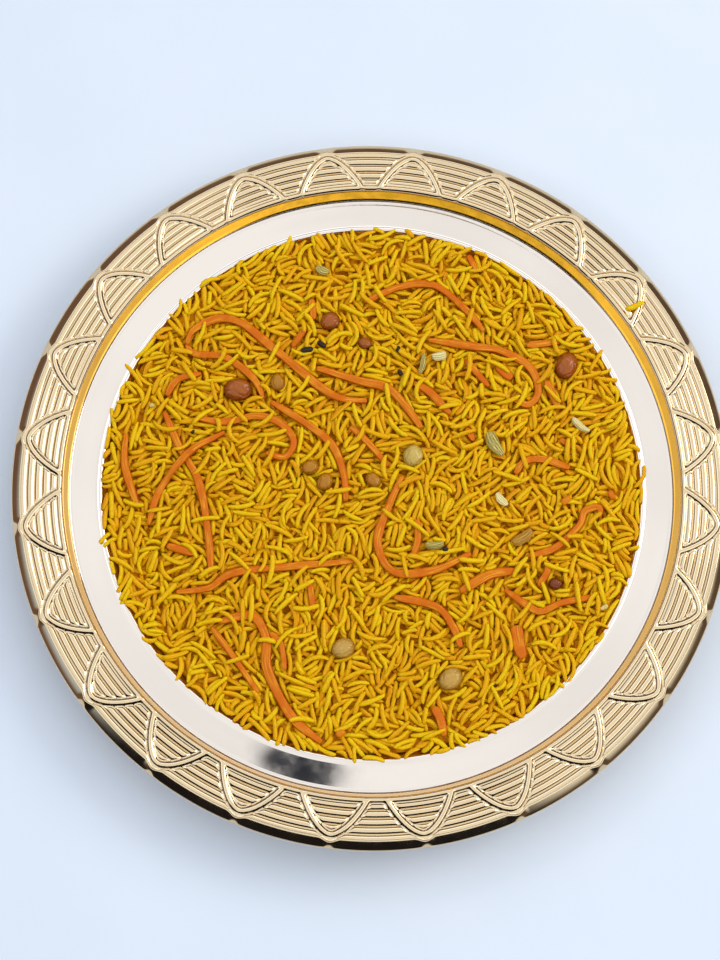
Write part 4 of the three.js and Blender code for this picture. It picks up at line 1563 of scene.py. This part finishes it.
@dataclass
class Studio:
    """A pale table in soft light, seen as in the photograph."""
    table_size: float = 30000.0
    camera_place: tuple[float, float, float] = (-30.41, -156.01, 769.32)
    camera_right: tuple[float, float, float] = (0.99946112, 0.00166876, 0.0327823)
    camera_up: tuple[float, float, float] = (-0.00843847, 0.97820374, 0.20747587)
    lens: float = 60.0
    key_place: tuple[float, float, float] = (1330.0, 400.0, 1080.0)
    key_size: float = 800.0
    key_power: float = 6.8
    key_colour: tuple[float, float, float] = (1.0, 0.96, 0.89)
    dark_side: float = -101.0
    dark_spot: tuple[float, float, float] = (-0.0035, 0.0308, 0.9995)

    def table(self) -> None:
        """The surface under the platter."""
        half = self.table_size / 2
        corners = np.array([(-half, -half, 0), (half, -half, 0), (half, half, 0), (-half, half, 0)])
        floor = put_mesh("table", corners, [np.array([[0, 1, 2, 3]])])
        floor.data.materials.append(TableTop().material())

    def sky(self) -> None:
        """Soft light from all round: white overhead, a brighter ring half way up, and dim below that.

        It is dark low down in front, pale again at the horizon, and has one small dark spot overhead, which
        the ledge mirrors. Each layer's share is a product of rises of the height, from 0 level to 1 overhead.
        """
        world = bpy.data.worlds.new("soft_light")
        world.use_nodes = True
        tree = world.node_tree
        tree.nodes.clear()
        way = add(tree, "TexCoord", output="Generated")
        parts = add(tree, "SeparateXYZ", {0: way}).node.outputs
        up = parts["Z"]
        level = add(tree, "CombineXYZ", {"X": parts["X"], "Y": parts["Y"]})
        level = add(tree, "VectorMath", {0: level}, operation="NORMALIZE")
        angle = np.radians(self.dark_side)
        ahead = (float(np.cos(angle)), float(np.sin(angle)), 0.0)
        front = add(tree, "VectorMath", {0: level, 1: ahead}, "Value", operation="DOT_PRODUCT")
        over = add(tree, "VectorMath", {0: way, 1: self.dark_spot}, "Value", operation="DOT_PRODUCT")
        right = rise(tree, (parts["X"], -0.6, 0.8))
        clouds = add(tree, "TexNoise", {"Vector": way, "Scale": 9.0, "Detail": 1.0})
        high = coats(tree, (1.01, 1.06, 1.13, 1), (rise(tree, (clouds, 0.35, 0.65)), (1.11, 1.17, 1.24, 1)))
        middle = coats(tree, (0.58, 0.72, 0.95, 1), (right, (0.88, 0.93, 1.0, 1)))
        low = coats(tree, (0.17, 0.11, 0.09, 1), (right, (0.12, 0.09, 0.07, 1)))
        ring = coats(tree, (2.0, 2.12, 2.3, 1), (right, (2.7, 2.78, 2.88, 1)))
        horizon, shadow, spot = (0.76, 0.82, 0.92, 1), (0.014, 0.013, 0.016, 1), (0.02, 0.025, 0.04, 1)
        colour = coats(tree, horizon,
                       (rise(tree, (up, 0.12, 0.2)), low),
                       (rise(tree, (up, 0.4, 0.6)), middle),
                       (rise(tree, (up, 0.62, 0.76)), high),
                       (rise(tree, (up, 0.65, 0.68), (up, 0.775, 0.75)), ring),
                       (rise(tree, (front, 0.56, 0.78), (up, 0.77, 0.7), (up, 0.12, 0.2)), shadow),
                       (rise(tree, (over, 0.9995, 0.9998)), spot))
        light = add(tree, "Background", {"Color": colour, "Strength": 1.0})
        add(tree, "OutputWorld", {"Surface": light})
        bpy.context.scene.world = world

    def key(self) -> None:
        """A large soft lamp up on the right."""
        light = bpy.data.lights.new("key", "AREA")
        light.shape, light.size, light.energy = "DISK", self.key_size * MM, self.key_power
        light.color = self.key_colour
        lamp = bpy.data.objects.new("key", light)
        place = Vector(self.key_place) * MM
        lamp.matrix_world = Matrix.Translation(place) @ (-place).to_track_quat("-Z", "Y").to_matrix().to_4x4()
        bpy.context.scene.collection.objects.link(lamp)

    def camera(self) -> None:
        """The photograph's view."""
        data = bpy.data.cameras.new("view")
        data.lens, data.sensor_width, data.clip_start, data.clip_end = self.lens, 36.0, 0.01, 50.0
        camera = bpy.data.objects.new("view", data)
        right, up = Vector(self.camera_right), Vector(self.camera_up)
        back = right.cross(up)
        turn = Matrix((right, up, back)).transposed().to_4x4()
        camera.matrix_world = Matrix.Translation(Vector(self.camera_place) * MM) @ turn
        bpy.context.scene.collection.objects.link(camera)
        bpy.context.scene.camera = camera

    def build(self) -> None:
        """Sets up camera, table and light, with colours shown as they are."""
        self.camera()
        self.table()
        self.sky()
        self.key()
        bpy.context.scene.view_settings.view_transform = "Standard"


def main() -> None:
    """Builds the setting, the platter, what lies on the rice, and the rice between them."""
    Studio().build()
    Platter().build()
    ground = Ground()
    shreds = [Shred(i + 1, *values) for i, values in enumerate(SHRED_LINES)]
    shreds += [Shred(len(SHRED_LINES) + i + 1, *values, node=False) for i, values in enumerate(STUB_LINES)]
    raisins = [Raisin(*values, i + 1) for i, values in enumerate(RAISINS)]
    pods = [Pod(*values, i + 1) for i, values in enumerate(PODS)]
    for one in [*shreds, *raisins, *pods]:
        one.rest_on(ground)
    carrot = CookedCarrot().material()
    skins = {kind: kind.value.material() for kind in RaisinKind}
    husks = {kind: kind.value.material() for kind in HuskKind}
    for one in shreds:
        one.build(carrot)
    for one in raisins:
        one.build(skins[one.kind])
    for one in pods:
        one.build(husks[one.kind])
    by_slot = {"raisin_dark": SeedCoat().material(), "carrot": carrot, "husk_pale": husks[HuskKind.PALE]}
    for name, *values in BITS:
        bit = Bit(*values, name)
        bit.build(by_slot[bit.slot])
    # Grains also cross the small raisins that are half buried.
    draw = np.random.default_rng(77)
    buried = [(*RAISINS[i][0], draw.uniform(0, np.pi)) for i in (4, 9, 10, 10, 11) for _ in range(5)]
    aims = np.concatenate([one.aims() for one in shreds] + [np.array(buried)])
    RiceBed().build(ground, aims)


if __name__ == "__main__":
    main()
